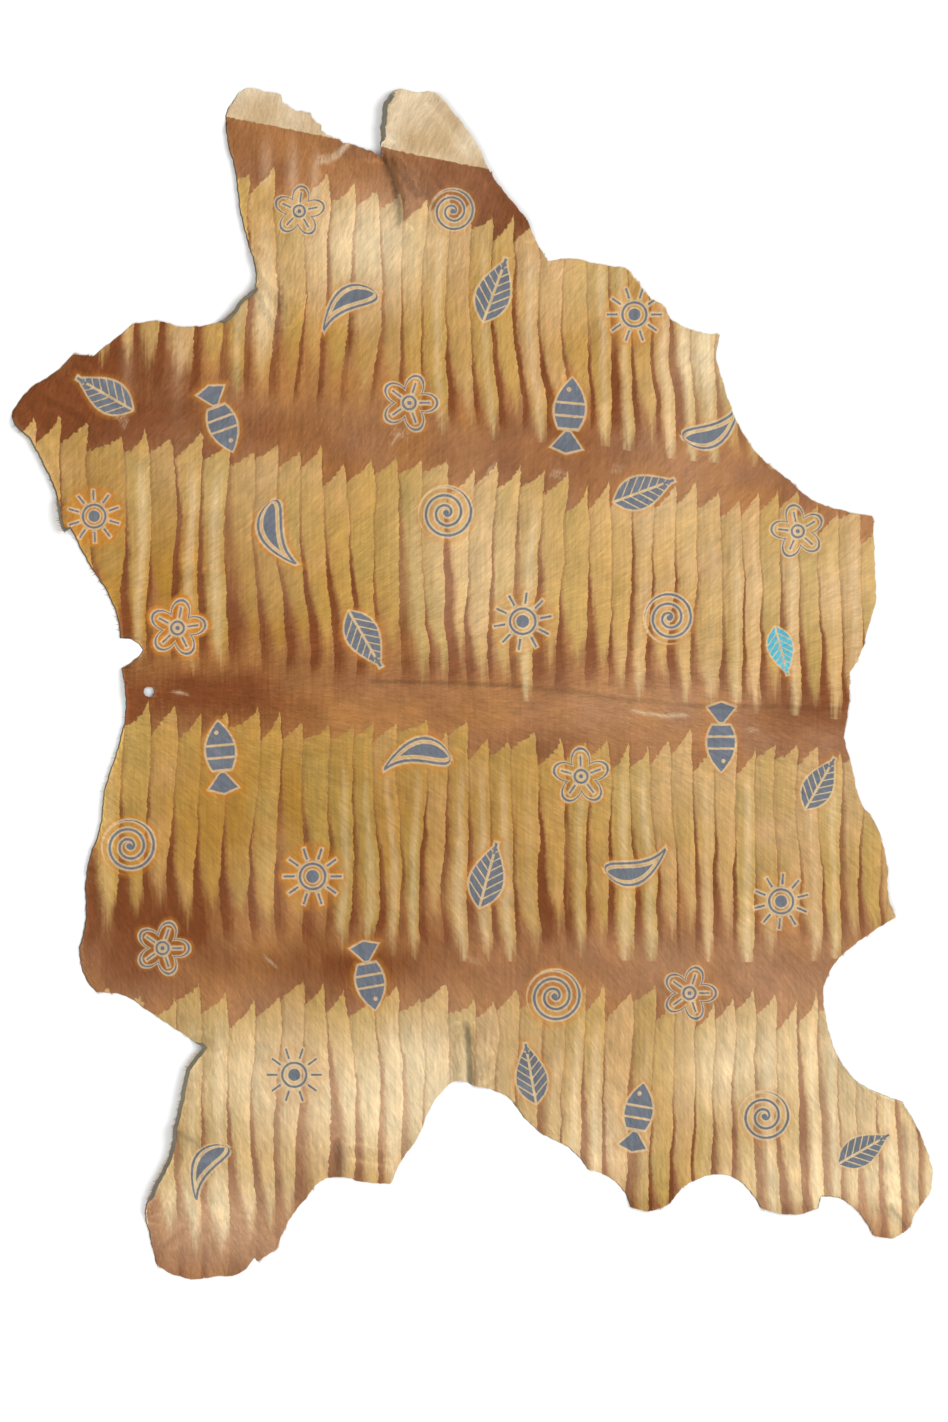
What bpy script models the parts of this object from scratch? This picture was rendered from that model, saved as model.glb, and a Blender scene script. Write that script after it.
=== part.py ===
"""Printed hair-on leather hide, lying with its hair side up.

A whole calf skin is one piece: its cut edge runs round the neck lobes, the shanks, the belly and
the rump, and a small flaw hole goes right through it near the left notch. The skin lies flat,
apart from the crease of the spine, a few pleats and the stretches of edge that curl off the ground.

The tables are in millimetres, seen from the hair side, with X to the right and Y up the hide.
The mesh is in metres, +Z up, with its origin at the middle of its underside.
"""
import math
from collections import namedtuple

import bpy
import numpy as np
from mathutils import Vector
from mathutils.geometry import delaunay_2d_cdt

# Driving dimensions
MM = 0.001
SKIN_THICKNESS = 1.5 * MM
LYING_HAIR = 1.0 * MM
SHEET_THICKNESS = SKIN_THICKNESS + LYING_HAIR
EDGE_STEP = 8.0 * MM
FLAT_STEP = 40.0 * MM
FOLD_STEP = 9.0 * MM
LEAST_GAP = 4.0 * MM

# The hide's middle tones and its dull, soft surface
HIDE_COLOUR = (0.40, 0.22, 0.09, 1.0)
HIDE_ROUGHNESS = 0.72

# The cut edge, clockwise: each row is one landmark, SMOOTH where the edge runs on through it
# in a curve and CORNER where it breaks.
EdgePoint = namedtuple("EdgePoint", "across up turn")
SMOOTH = "smooth"
CORNER = "corner"

UPPER_LEFT_LOBE = (
    (-259, 472, CORNER),
    (-259, 498, SMOOTH),
    (-264, 515, SMOOTH),
    (-277, 565, SMOOTH),
    (-283, 613, SMOOTH),
    (-293, 655, SMOOTH),
    (-293, 686, SMOOTH),
    (-284, 701, SMOOTH),
    (-268, 714, SMOOTH),
    (-250, 710, SMOOTH),
    (-228, 706, CORNER),
    (-226, 698, SMOOTH),
    (-214, 688, SMOOTH),
    (-193, 683, SMOOTH),
    (-180, 664, SMOOTH),
    (-151, 648, SMOOTH),
    (-127, 641, SMOOTH),
    (-108, 630, CORNER),
)

UPPER_RIGHT_LOBE = (
    (-108, 664, SMOOTH),
    (-102, 698, SMOOTH),
    (-86, 713, SMOOTH),
    (-68, 708, SMOOTH),
    (-52, 710, SMOOTH),
    (-16, 677, SMOOTH),
    (10, 640, SMOOTH),
    (23, 612, SMOOTH),
    (45, 582, SMOOTH),
    (68, 553, SMOOTH),
    (75, 536, SMOOTH),
    (92, 506, CORNER),
)

UPPER_SLOPE = (
    (121, 509, SMOOTH),
    (155, 502, SMOOTH),
    (185, 498, CORNER),
    (216, 460, CORNER),
    (228, 455, SMOOTH),
    (239, 436, CORNER),
    (263, 424, SMOOTH),
    (281, 419, SMOOTH),
    (299, 418, CORNER),
    (294, 396, SMOOTH),
    (302, 361, SMOOTH),
    (320, 311, SMOOTH),
    (347, 271, SMOOTH),
    (378, 246, SMOOTH),
    (410, 219, SMOOTH),
    (449, 206, SMOOTH),
    (482, 200, CORNER),
)

RIGHT_END = (
    (484, 148, SMOOTH),
    (486, 100, CORNER),
    (475, 61, SMOOTH),
    (466, 32, SMOOTH),
    (454, 12, CORNER),
    (454, -11, SMOOTH),
    (447, -65, CORNER),
    (457, -102, SMOOTH),
    (467, -142, SMOOTH),
    (484, -167, SMOOTH),
    (500, -224, CORNER),
    (499, -246, SMOOTH),
    (509, -281, CORNER),
)

RIGHT_BAY = (
    (468, -308, SMOOTH),
    (439, -333, SMOOTH),
    (423, -366, SMOOTH),
    (426, -404, SMOOTH),
    (439, -446, SMOOTH),
    (467, -481, SMOOTH),
    (497, -495, SMOOTH),
    (518, -503, CORNER),
)

LOWER_RIGHT_SHANK = (
    (539, -541, SMOOTH),
    (553, -582, CORNER),
    (549, -614, SMOOTH),
    (534, -634, SMOOTH),
    (525, -653, SMOOTH),
    (504, -666, SMOOTH),
    (482, -662, CORNER),
    (467, -638, SMOOTH),
    (454, -625, SMOOTH),
    (437, -617, SMOOTH),
    (420, -616, CORNER),
    (416, -630, CORNER),
    (392, -637, SMOOTH),
    (365, -635, SMOOTH),
    (346, -628, CORNER),
)

BELLY_SCALLOPS = (
    (331, -606, SMOOTH),
    (318, -595, SMOOTH),
    (296, -589, SMOOTH),
    (275, -594, SMOOTH),
    (254, -605, SMOOTH),
    (239, -623, SMOOTH),
    (215, -633, SMOOTH),
    (191, -628, CORNER),
    (178, -603, SMOOTH),
    (160, -590, SMOOTH),
    (140, -583, CORNER),
    (119, -559, SMOOTH),
    (84, -540, SMOOTH),
    (65, -523, SMOOTH),
    (44, -497, SMOOTH),
    (23, -487, SMOOTH),
)

TAIL_BAY = (
    (1, -482, SMOOTH),
    (-13, -476, SMOOTH),
    (-36, -491, SMOOTH),
    (-50, -511, SMOOTH),
    (-64, -545, SMOOTH),
    (-83, -572, SMOOTH),
    (-97, -601, CORNER),
)

LOWER_LEFT_SHANK = (
    (-132, -598, SMOOTH),
    (-161, -592, SMOOTH),
    (-181, -598, SMOOTH),
    (-199, -619, SMOOTH),
    (-217, -642, SMOOTH),
    (-233, -678, CORNER),
    (-256, -694, CORNER),
    (-260, -689, CORNER),
    (-277, -708, SMOOTH),
    (-306, -712, SMOOTH),
    (-335, -715, SMOOTH),
    (-361, -708, SMOOTH),
    (-378, -697, CORNER),
    (-385, -666, SMOOTH),
    (-391, -634, SMOOTH),
    (-379, -601, SMOOTH),
    (-362, -566, SMOOTH),
    (-355, -529, SMOOTH),
    (-348, -498, SMOOTH),
    (-340, -462, SMOOTH),
    (-321, -437, CORNER),
)

LEFT_FLANK = (
    (-361, -411, CORNER),
    (-385, -395, SMOOTH),
    (-419, -374, SMOOTH),
    (-450, -371, CORNER),
    (-464, -352, SMOOTH),
    (-470, -326, SMOOTH),
    (-463, -287, SMOOTH),
    (-462, -232, SMOOTH),
    (-456, -204, SMOOTH),
    (-447, -180, SMOOTH),
    (-439, -125, SMOOTH),
    (-425, -82, SMOOTH),
    (-414, -29, SMOOTH),
    (-419, 18, CORNER),
)

LEFT_NOTCH = (
    (-403, 29, SMOOTH),
    (-394, 40, SMOOTH),
    (-402, 49, SMOOTH),
    (-421, 54, CORNER),
)

LEFT_EDGE = (
    (-425, 80, SMOOTH),
    (-436, 107, SMOOTH),
    (-460, 145, SMOOTH),
    (-480, 185, CORNER),
    (-487, 179, CORNER),
    (-493, 196, SMOOTH),
    (-497, 223, SMOOTH),
    (-517, 269, SMOOTH),
    (-532, 295, SMOOTH),
    (-547, 308, SMOOTH),
    (-551, 326, CORNER),
    (-526, 356, SMOOTH),
    (-503, 370, SMOOTH),
    (-478, 394, CORNER),
    (-454, 392, CORNER),
    (-431, 410, SMOOTH),
    (-406, 430, CORNER),
    (-373, 434, SMOOTH),
    (-352, 428, SMOOTH),
    (-319, 429, SMOOTH),
    (-292, 438, SMOOTH),
    (-277, 457, SMOOTH),
)

CUT_EDGE = (
    UPPER_LEFT_LOBE,
    UPPER_RIGHT_LOBE,
    UPPER_SLOPE,
    RIGHT_END,
    RIGHT_BAY,
    LOWER_RIGHT_SHANK,
    BELLY_SCALLOPS,
    TAIL_BAY,
    LOWER_LEFT_SHANK,
    LEFT_FLANK,
    LEFT_NOTCH,
    LEFT_EDGE,
)

# The flaw hole near the left notch: its middle and its half sizes
FlawHole = namedtuple("FlawHole", "across up half_width half_height sides")
FLAW_HOLE = FlawHole(-386, -11, 6.5, 6.0, 10)

# Creases, pleats and curled edges: each is a soft ridge along a line of hand-set points. Its
# surface falls from the rise at the line to nothing at the half width. A sunk line has a
# negative rise and only takes away from a ridge that it crosses, because the ground is below.
Fold = namedtuple("Fold", "name half_width rise line")
FOLDS = (
    Fold("spine", 42, 4.5, ((-405, -8), (-85, 2), (74, -4), (179, -19), (275, -28), (447, -31))),
    Fold("spine crease, right", 11, -3.0, ((290, -29), (447, -31))),
    Fold("spine crease, middle", 11, -2.0, ((60, -2), (180, -19))),
    Fold("pleat between the lobes", 17, 8.0, ((-99, 632), (-84, 602), (-72, 560))),
    Fold("trough beside that pleat", 10, -4.0, ((-108, 622), (-97, 600), (-88, 575))),
    Fold("neck pinch", 20, 6.5, ((-258, 506), (-250, 480), (-222, 444))),
    Fold("tail crease, left lip", 15, 6.0, ((-14, -422), (-10, -478))),
    Fold("tail crease, right lip", 15, 6.0, ((6, -422), (9, -484))),
    Fold("tail crease", 9, -5.0, ((-4, -415), (-1, -483))),
    Fold("small flap, upright", 11, 5.0, ((-158, -552), (-156, -594))),
    Fold("small flap, level", 11, 4.0, ((-146, -558), (-104, -567))),
    Fold("lower left shank crease", 15, 4.0, ((-357, -534), (-325, -555))),
    Fold("lower right shank wrinkle", 14, 4.0, ((505, -630), (522, -652))),
    Fold("right lobe, left edge", 22, 8.0, ((-108, 640), (-108, 668), (-101, 700))),
    Fold("right lobe, right edge", 20, 5.0, ((-37, 698), (10, 640), (44, 580), (71, 546))),
    Fold("left lobe, left edge", 18, 4.0, ((-293, 660), (-284, 613), (-277, 565), (-264, 515))),
    Fold("neck edge", 22, 7.0, ((-262, 470), (-292, 436))),
    Fold("left arm, lower edge", 20, 5.0, ((-547, 308), (-517, 269), (-497, 223), (-488, 182))),
    Fold("left arm, flap tip", 20, 5.0, ((-495, 205), (-487, 180))),
    Fold("left flank edge", 20, 4.0, ((-419, 10), (-425, -82), (-439, -125), (-461, -220))),
    Fold("lower left shank, left edge", 24, 8.0, ((-324, -442), (-348, -498), (-362, -566), (-390, -625))),
    Fold("right end corner", 22, 4.5, ((499, -230), (507, -278))),
    Fold("belly scallop, left tip", 26, 4.0, ((200, -628), (228, -629))),
    Fold("belly scallop, right tip", 22, 3.5, ((360, -634), (410, -632))),
)

# Rows of mesh points beside a fold's line, in parts of its half width
FOLD_ROWS = (-1.0, -0.5, 0.0, 0.5, 1.0)


def clear_scene():
    """Remove the objects that the open file holds."""
    for thing in list(bpy.data.objects):
        bpy.data.objects.remove(thing, do_unlink=True)


def edge_landmarks():
    """Landmarks of the cut edge in metres, and whether each is a corner."""
    rows = [EdgePoint(*row) for table in CUT_EDGE for row in table]
    places = np.array([(row.across, row.up) for row in rows]) * MM
    corners = np.array([row.turn == CORNER for row in rows])
    return places, corners


def edge_slopes(places, corners):
    """Direction of the edge at each landmark, weighted to the nearer neighbour; nothing at a corner."""
    before = places - np.roll(places, 1, axis=0)
    after = np.roll(places, -1, axis=0) - places
    span_before = np.linalg.norm(before, axis=1, keepdims=True)
    span_after = np.linalg.norm(after, axis=1, keepdims=True)
    slopes = before / span_before * span_after + after / span_after * span_before
    slopes /= span_before + span_after
    slopes[corners] = 0.0
    return slopes


def edge_stretch(start, end, leave, arrive, start_corner, end_corner):
    """Points of the edge from one landmark up to the next, as a cubic that keeps both directions."""
    chord = end - start
    span = np.linalg.norm(chord)
    leave = leave * span
    arrive = arrive * span
    if start_corner and end_corner:
        leave = arrive = chord
    elif start_corner:
        leave = 1.5 * chord - 0.5 * arrive
    elif end_corner:
        arrive = 1.5 * chord - 0.5 * leave
    count = max(1, round(span / EDGE_STEP))
    part = (np.arange(count) / count)[:, None]
    square = part * part
    cube = square * part
    return ((2 * cube - 3 * square + 1) * start + (cube - 2 * square + part) * leave
            + (3 * square - 2 * cube) * end + (cube - square) * arrive)


def cut_edge_loop():
    """The whole cut edge as a closed loop of points."""
    places, corners = edge_landmarks()
    slopes = edge_slopes(places, corners)
    stretches = []
    for i in range(len(places)):
        j = (i + 1) % len(places)
        stretches.append(edge_stretch(places[i], places[j], slopes[i], slopes[j], corners[i], corners[j]))
    return np.vstack(stretches)


def flaw_hole_loop():
    """The edge of the flaw hole: an ellipse with a slightly drawn-out upper left."""
    turn = np.arange(FLAW_HOLE.sides) * 2.0 * math.pi / FLAW_HOLE.sides
    reach = 1.0 + 0.12 * np.cos(turn - 2.2)
    across = FLAW_HOLE.across + FLAW_HOLE.half_width * reach * np.cos(turn)
    up = FLAW_HOLE.up + FLAW_HOLE.half_height * reach * np.sin(turn)
    return np.column_stack((across, up)) * MM


def distance_to_line(points, line):
    """Shortest distance from each point to a line of straight stretches."""
    nearest = np.full(len(points), np.inf)
    for start, end in zip(line[:-1], line[1:]):
        run = end - start
        part = np.clip((points - start) @ run / (run @ run), 0.0, 1.0)
        gap = np.linalg.norm(points - start - part[:, None] * run, axis=1)
        nearest = np.minimum(nearest, gap)
    return nearest


def underside_height(points):
    """Height of the hide's underside over the ground: all folds added up, never below the ground."""
    height = np.zeros(len(points))
    for fold in FOLDS:
        gap = distance_to_line(points, np.array(fold.line) * MM)
        share = np.clip(gap / (fold.half_width * MM), 0.0, 1.0)
        height += fold.rise * MM * 0.5 * (1.0 + np.cos(math.pi * share))
    return np.maximum(height, 0.0)


def fold_points(fold):
    """Mesh points in rows along both sides of a fold's line."""
    line = np.array(fold.line) * MM
    rows = []
    for start, end in zip(line[:-1], line[1:]):
        run = end - start
        span = np.linalg.norm(run)
        aside = np.array((-run[1], run[0])) / span * fold.half_width * MM
        count = max(2, round(span / max(FOLD_STEP, 0.45 * fold.half_width * MM)))
        along = start + np.linspace(0.0, 1.0, count + 1)[:, None] * run
        rows += [along + share * aside for share in FOLD_ROWS]
    return np.vstack(rows)


def flat_points(edge):
    """Mesh points of the flat part: staggered rows over the whole hide, away from every fold."""
    low = edge.min(axis=0)
    high = edge.max(axis=0)
    row_gap = FLAT_STEP * math.sqrt(3.0) / 2.0
    rows = []
    for number, up in enumerate(np.arange(low[1], high[1], row_gap)):
        across = np.arange(low[0] + FLAT_STEP / 2.0 * (number % 2), high[0], FLAT_STEP)
        rows.append(np.column_stack((across, np.full(len(across), up))))
    points = np.vstack(rows)
    for fold in FOLDS:
        away = distance_to_line(points, np.array(fold.line) * MM)
        points = points[away > (fold.half_width * MM + LEAST_GAP)]
    return points


def inside_loop(points, loop):
    """Whether each point lies inside a closed loop, by counting the edges above it."""
    inside = np.zeros(len(points), dtype=bool)
    for start, end in zip(loop, np.roll(loop, -1, axis=0)):
        crosses = (start[0] > points[:, 0]) != (end[0] > points[:, 0])
        rise = (end[1] - start[1]) / (end[0] - start[0] if end[0] != start[0] else 1.0)
        above = start[1] + (points[:, 0] - start[0]) * rise > points[:, 1]
        inside ^= crosses & above
    return inside


def spread_out(points, fixed):
    """Drop each point that stands too near to a fixed one or to one already kept."""
    kept = [np.array(place) for place in fixed]
    for point in points:
        if np.min(np.linalg.norm(np.array(kept) - point, axis=1)) > LEAST_GAP:
            kept.append(point)
    return np.array(kept[len(fixed):])


def flat_pattern():
    """The hide seen from above: its points and triangles, with the flaw hole left open."""
    edge = cut_edge_loop()
    hole = flaw_hole_loop()
    loops = np.vstack((edge, hole))
    inner = np.vstack([fold_points(fold) for fold in FOLDS] + [flat_points(edge)])
    inner = inner[inside_loop(inner, edge) & ~inside_loop(inner, hole)]
    inner = spread_out(inner, loops)
    points = [Vector(place) for place in np.vstack((loops, inner))]
    ties = [(i, (i + 1) % len(edge)) for i in range(len(edge))]
    ties += [(len(edge) + i, len(edge) + (i + 1) % len(hole)) for i in range(len(hole))]
    inside_ties = 1
    result = delaunay_2d_cdt(points, ties, [], inside_ties, 1.0e-6)
    flat = np.array([tuple(place) for place in result[0]])
    triangles = np.array([tuple(face) for face in result[2]])
    triangles = triangles[~inside_loop(flat[triangles].mean(axis=1), hole)]
    first, second, third = (flat[triangles[:, k]] for k in range(3))
    leg = second - first
    arm = third - first
    backwards = leg[:, 0] * arm[:, 1] - leg[:, 1] * arm[:, 0] < 0.0
    triangles[backwards] = triangles[backwards][:, ::-1]
    return flat, triangles


def rim_faces(triangles, count):
    """Faces of the cut edge, from each free side of the upper layer down to the lower layer."""
    sides = {(int(tri[k]), int(tri[(k + 1) % 3])) for tri in triangles for k in range(3)}
    free = sorted(side for side in sides if (side[1], side[0]) not in sides)
    return [(b, a, a + count, b + count) for a, b in free]


def hide_material():
    """Dull, soft brown of the printed hair."""
    material = bpy.data.materials.new("leather")
    material.use_nodes = True
    shader = material.node_tree.nodes["Principled BSDF"]
    shader.inputs["Base Color"].default_value = HIDE_COLOUR
    shader.inputs["Roughness"].default_value = HIDE_ROUGHNESS
    shader.inputs["Metallic"].default_value = 0.0
    return material


def make_hide():
    """Build the hide as one closed sheet of even thickness over its folds."""
    flat, triangles = flat_pattern()
    middle = (flat.min(axis=0) + flat.max(axis=0)) / 2.0
    ground = underside_height(flat)
    lower = np.column_stack((flat - middle, ground))
    upper = lower + np.array((0.0, 0.0, SHEET_THICKNESS))
    count = len(flat)
    faces = [tuple(int(i) for i in tri) for tri in triangles]
    faces += [tuple(int(i) + count for i in tri[::-1]) for tri in triangles]
    faces += rim_faces(triangles, count)
    mesh = bpy.data.meshes.new("hide")
    mesh.from_pydata([tuple(place) for place in np.vstack((upper, lower))], [], faces)
    mesh.materials.append(hide_material())
    mesh.shade_smooth()
    mesh.set_sharp_from_angle(angle=math.radians(50.0))
    mesh.update()
    hide = bpy.data.objects.new("hide", mesh)
    bpy.context.scene.collection.objects.link(hide)
    return hide


clear_scene()
make_hide()
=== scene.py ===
"""Looks of a printed hair-on calf hide that lies flat with its hair side up.

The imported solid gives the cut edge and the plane. This script lays a thin skin on the solid's
folds, grows a coat of short lying hair on it, and prints both with rows of feather stripes and
small ornaments. Tables are in millimetres, seen from the hair side, with X to the right and Y up
the hide. Meshes are in metres, +Z up.
"""
import logging
import math
from dataclasses import dataclass, field
from enum import Enum

import bpy
import numpy as np
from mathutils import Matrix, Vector
from mathutils.geometry import delaunay_2d_cdt


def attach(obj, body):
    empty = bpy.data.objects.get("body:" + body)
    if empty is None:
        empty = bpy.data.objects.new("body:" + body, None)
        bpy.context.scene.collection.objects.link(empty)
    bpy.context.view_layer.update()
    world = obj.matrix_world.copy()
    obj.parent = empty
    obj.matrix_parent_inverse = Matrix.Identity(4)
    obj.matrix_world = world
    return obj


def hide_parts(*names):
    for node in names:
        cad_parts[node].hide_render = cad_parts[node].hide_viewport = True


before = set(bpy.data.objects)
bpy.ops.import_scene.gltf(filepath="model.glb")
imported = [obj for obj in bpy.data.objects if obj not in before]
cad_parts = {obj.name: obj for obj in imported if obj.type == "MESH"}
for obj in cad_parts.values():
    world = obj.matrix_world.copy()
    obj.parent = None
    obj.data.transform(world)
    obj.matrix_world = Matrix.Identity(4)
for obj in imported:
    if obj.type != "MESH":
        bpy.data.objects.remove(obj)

log = logging.getLogger("hide")

MM = 0.001
NODE = "hide"
BODY = "root"

# The middle of the hide's box in the tables' coordinates, which is the frame's origin
TABLE_MIDDLE = np.array((1.0, -0.5))

Array = np.ndarray
Colour = tuple[float, float, float]


def srgb(red: int, green: int, blue: int) -> Colour:
    """Scene-linear values of a display colour, whose three numbers go from 0 to 255."""
    shares = (red / 255.0, green / 255.0, blue / 255.0)
    return tuple(c / 12.92 if c < 0.04045 else ((c + 0.055) / 1.055) ** 2.4 for c in shares)


def smooth_noise(places: Array, grain: float, seed: int) -> Array:
    """Smooth noise from -0.5 to 0.5: numbers drawn for a square lattice, blended between the
    four nearest by a smooth step of the way across the cell.

    Args:
        places: Points in the plane.
        grain: Side of a cell, in the points' unit.
        seed: Seed of the draw.

    Returns:
        One number for each point.
    """
    lattice = np.random.default_rng(seed).random((64, 64)) - 0.5
    spots = places / grain
    cell = np.floor(spots).astype(np.int64)
    part = spots - cell
    part = part * part * (3.0 - 2.0 * part)
    column, row = cell[:, 0] % 64, cell[:, 1] % 64
    next_column, next_row = (column + 1) % 64, (row + 1) % 64
    low = lattice[column, row] * (1.0 - part[:, 0]) + lattice[next_column, row] * part[:, 0]
    high = lattice[column, next_row] * (1.0 - part[:, 0]) + lattice[next_column, next_row] * part[:, 0]
    return low * (1.0 - part[:, 1]) + high * part[:, 1]


# Folds

@dataclass(frozen=True)
class Fold:
    """One crease, pleat or raised edge: a soft ridge along a line of given points.

    Attributes:
        half_width: How far the fold reaches to each side, in mm.
        rise: Height at the line, in mm; a crease has a negative rise.
        line: The points that the fold follows, in the tables' mm.
    """

    half_width: float
    rise: float
    line: tuple[tuple[float, float], ...]

    def path(self) -> Array:
        """The line in the frame's metres."""
        return (np.array(self.line, dtype=float) - TABLE_MIDDLE) * MM

    def gap(self, flat: Array) -> Array:
        """Shortest distance from each point to the line.

        Args:
            flat: Points in the plane, one row each, in metres.

        Returns:
            One distance for each point: the least over the line's straight stretches.
        """
        path = self.path()
        nearest = np.full(len(flat), np.inf)
        for start, end in zip(path[:-1], path[1:]):
            run = end - start
            part = np.clip((flat - start) @ run / (run @ run), 0.0, 1.0)
            nearest = np.minimum(nearest, np.linalg.norm(flat - start - part[:, None] * run, axis=1))
        return nearest

    def height(self, flat: Array) -> Array:
        """The rise times half of one plus the cosine of pi times the gap over the half width."""
        share = np.clip(self.gap(flat) / (self.half_width * MM), 0.0, 1.0)
        return self.rise * MM * 0.5 * (1.0 + np.cos(math.pi * share))

    def rows(self, step: float) -> Array:
        """Mesh points in rows along both sides of the line, closer than the plain grid's.

        Args:
            step: Distance between points along the line, in metres.

        Returns:
            The points, in metres.
        """
        path = self.path()
        rows = []
        for start, end in zip(path[:-1], path[1:]):
            run = end - start
            span = float(np.linalg.norm(run))
            aside = np.array((-run[1], run[0])) / span * self.half_width * MM
            along = start + np.linspace(0.0, 1.0, max(2, round(span / step)) + 1)[:, None] * run
            rows += [along + share * aside for share in np.linspace(-1.0, 1.0, 9)]
        return np.vstack(rows)


# The folds that the solid has too
MAIN_FOLDS = (
    Fold(42, 4.5, ((-405, -8), (-85, 2), (74, -4), (179, -19), (275, -28), (447, -31))),
    Fold(11, -3.0, ((290, -29), (447, -31))),
    Fold(11, -2.0, ((60, -2), (180, -19))),
    Fold(17, 8.0, ((-99, 632), (-84, 602), (-72, 560))),
    Fold(10, -4.0, ((-108, 622), (-97, 600), (-88, 575))),
    Fold(20, 6.5, ((-258, 506), (-250, 480), (-222, 444))),
    Fold(15, 6.0, ((-14, -422), (-10, -478))),
    Fold(15, 6.0, ((6, -422), (9, -484))),
    Fold(9, -5.0, ((-4, -415), (-1, -483))),
    Fold(11, 5.0, ((-158, -552), (-156, -594))),
    Fold(11, 4.0, ((-146, -558), (-104, -567))),
    Fold(15, 4.0, ((-357, -534), (-325, -555))),
    Fold(14, 4.0, ((505, -630), (522, -652))),
    Fold(22, 8.0, ((-108, 640), (-108, 668), (-101, 700))),
    Fold(20, 5.0, ((-37, 698), (10, 640), (44, 580), (71, 546))),
    Fold(18, 4.0, ((-293, 660), (-284, 613), (-277, 565), (-264, 515))),
    Fold(22, 7.0, ((-262, 470), (-292, 436))),
    Fold(20, 5.0, ((-547, 308), (-517, 269), (-497, 223), (-488, 182))),
    Fold(20, 5.0, ((-495, 205), (-487, 180))),
    Fold(20, 4.0, ((-419, 10), (-425, -82), (-439, -125), (-461, -220))),
    Fold(24, 8.0, ((-324, -442), (-348, -498), (-362, -566), (-390, -625))),
    Fold(22, 4.5, ((499, -230), (507, -278))),
    Fold(26, 4.0, ((200, -628), (228, -629))),
    Fold(22, 3.5, ((360, -634), (410, -632))),
)

# Fine creases and low swells that only the finished skin has
FINE_FOLDS = (
    Fold(5, -2.6, ((-101, 629), (-92, 604), (-86, 575), (-84, 548))),
    Fold(6, 2.4, ((-92, 626), (-78, 600), (-66, 566))),
    Fold(5, -1.8, ((-84, 628), (-66, 604), (-56, 578))),
    Fold(7, 1.6, ((-66, 622), (-48, 590), (-44, 556))),
    Fold(6, 1.2, ((-56, 612), (-30, 586))),
    Fold(8, 1.2, ((-200, 640), (-176, 612), (-168, 590))),
    Fold(7, 1.0, ((-150, 628), (-140, 604))),
    Fold(6, -1.0, ((-30, -440), (-14, -466))),
    Fold(6, 1.0, ((24, -446), (14, -470))),
    Fold(6, 1.0, ((32, -470), (20, -482))),
    Fold(6, 1.2, ((-170, -560), (-172, -588))),
    Fold(6, 1.0, ((-184, -570), (-188, -592))),
    Fold(6, 1.2, ((494, -612), (508, -636))),
    Fold(6, 1.0, ((516, -612), (534, -626))),
    Fold(7, 1.2, ((262, -560), (256, -598))),
    Fold(9, 1.2, ((-470, 372), (-440, 350), (-420, 318))),
    Fold(9, 1.0, ((-512, 336), (-470, 316), (-448, 276))),
    Fold(10, 1.2, ((-216, -668), (-250, -648), (-300, -640))),
    Fold(9, 1.0, ((-366, -672), (-330, -640), (-318, -600))),
    Fold(60, 1.4, ((-440, 200), (-380, 120))),
    Fold(70, 1.6, ((-120, 400), (60, 380), (180, 400))),
    Fold(70, 1.2, ((-300, -300), (-160, -330), (20, -330))),
    Fold(60, 1.4, ((200, -420), (360, -440))),
    Fold(55, 1.2, ((330, 160), (400, 60))),
)
FOLDS = MAIN_FOLDS + FINE_FOLDS


def ground_height(flat: Array) -> Array:
    """Height of the skin's underside over the ground: all folds added up, never below it."""
    return np.maximum(sum(fold.height(flat) for fold in FOLDS), 0.0)


@dataclass(frozen=True)
class Curl:
    """A stretch of the cut edge that rolls up and over, so that its flesh side shows.

    Attributes:
        reach: Width of the roll in plan, in mm.
        turn: How far it rolls, in degrees.
        line: Points near the stretch, in the tables' mm.
    """

    reach: float
    turn: float
    line: tuple[tuple[float, float], ...]


CURLS = (
    Curl(8.0, 166.0, ((-107, 656), (-106, 680), (-98, 702))),
    Curl(6.4, 160.0, ((-262, 468), (-276, 452), (-292, 437))),
    Curl(5.4, 155.0, ((-497, 212), (-491, 194), (-487, 181))),
    Curl(6.6, 162.0, ((-322, -440), (-342, -472), (-352, -515), (-362, -566), (-384, -612))),
    Curl(3.2, 130.0, ((-547, 308), (-517, 269), (-498, 226))),
    Curl(2.4, 120.0, ((-293, 660), (-283, 613), (-277, 565), (-262, 512), (-259, 480))),
    Curl(2.4, 120.0, ((-421, 56), (-436, 107), (-458, 142), (-478, 182))),
    Curl(2.2, 120.0, ((-417, -10), (-425, -82), (-439, -125), (-447, -180), (-461, -240), (-469, -320))),
    Curl(2.2, 115.0, ((-386, -664), (-391, -634), (-384, -612))),
    Curl(2.0, 115.0, ((417, -628), (420, -618), (467, -640), (482, -660))),
)


# The cut edge

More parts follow.
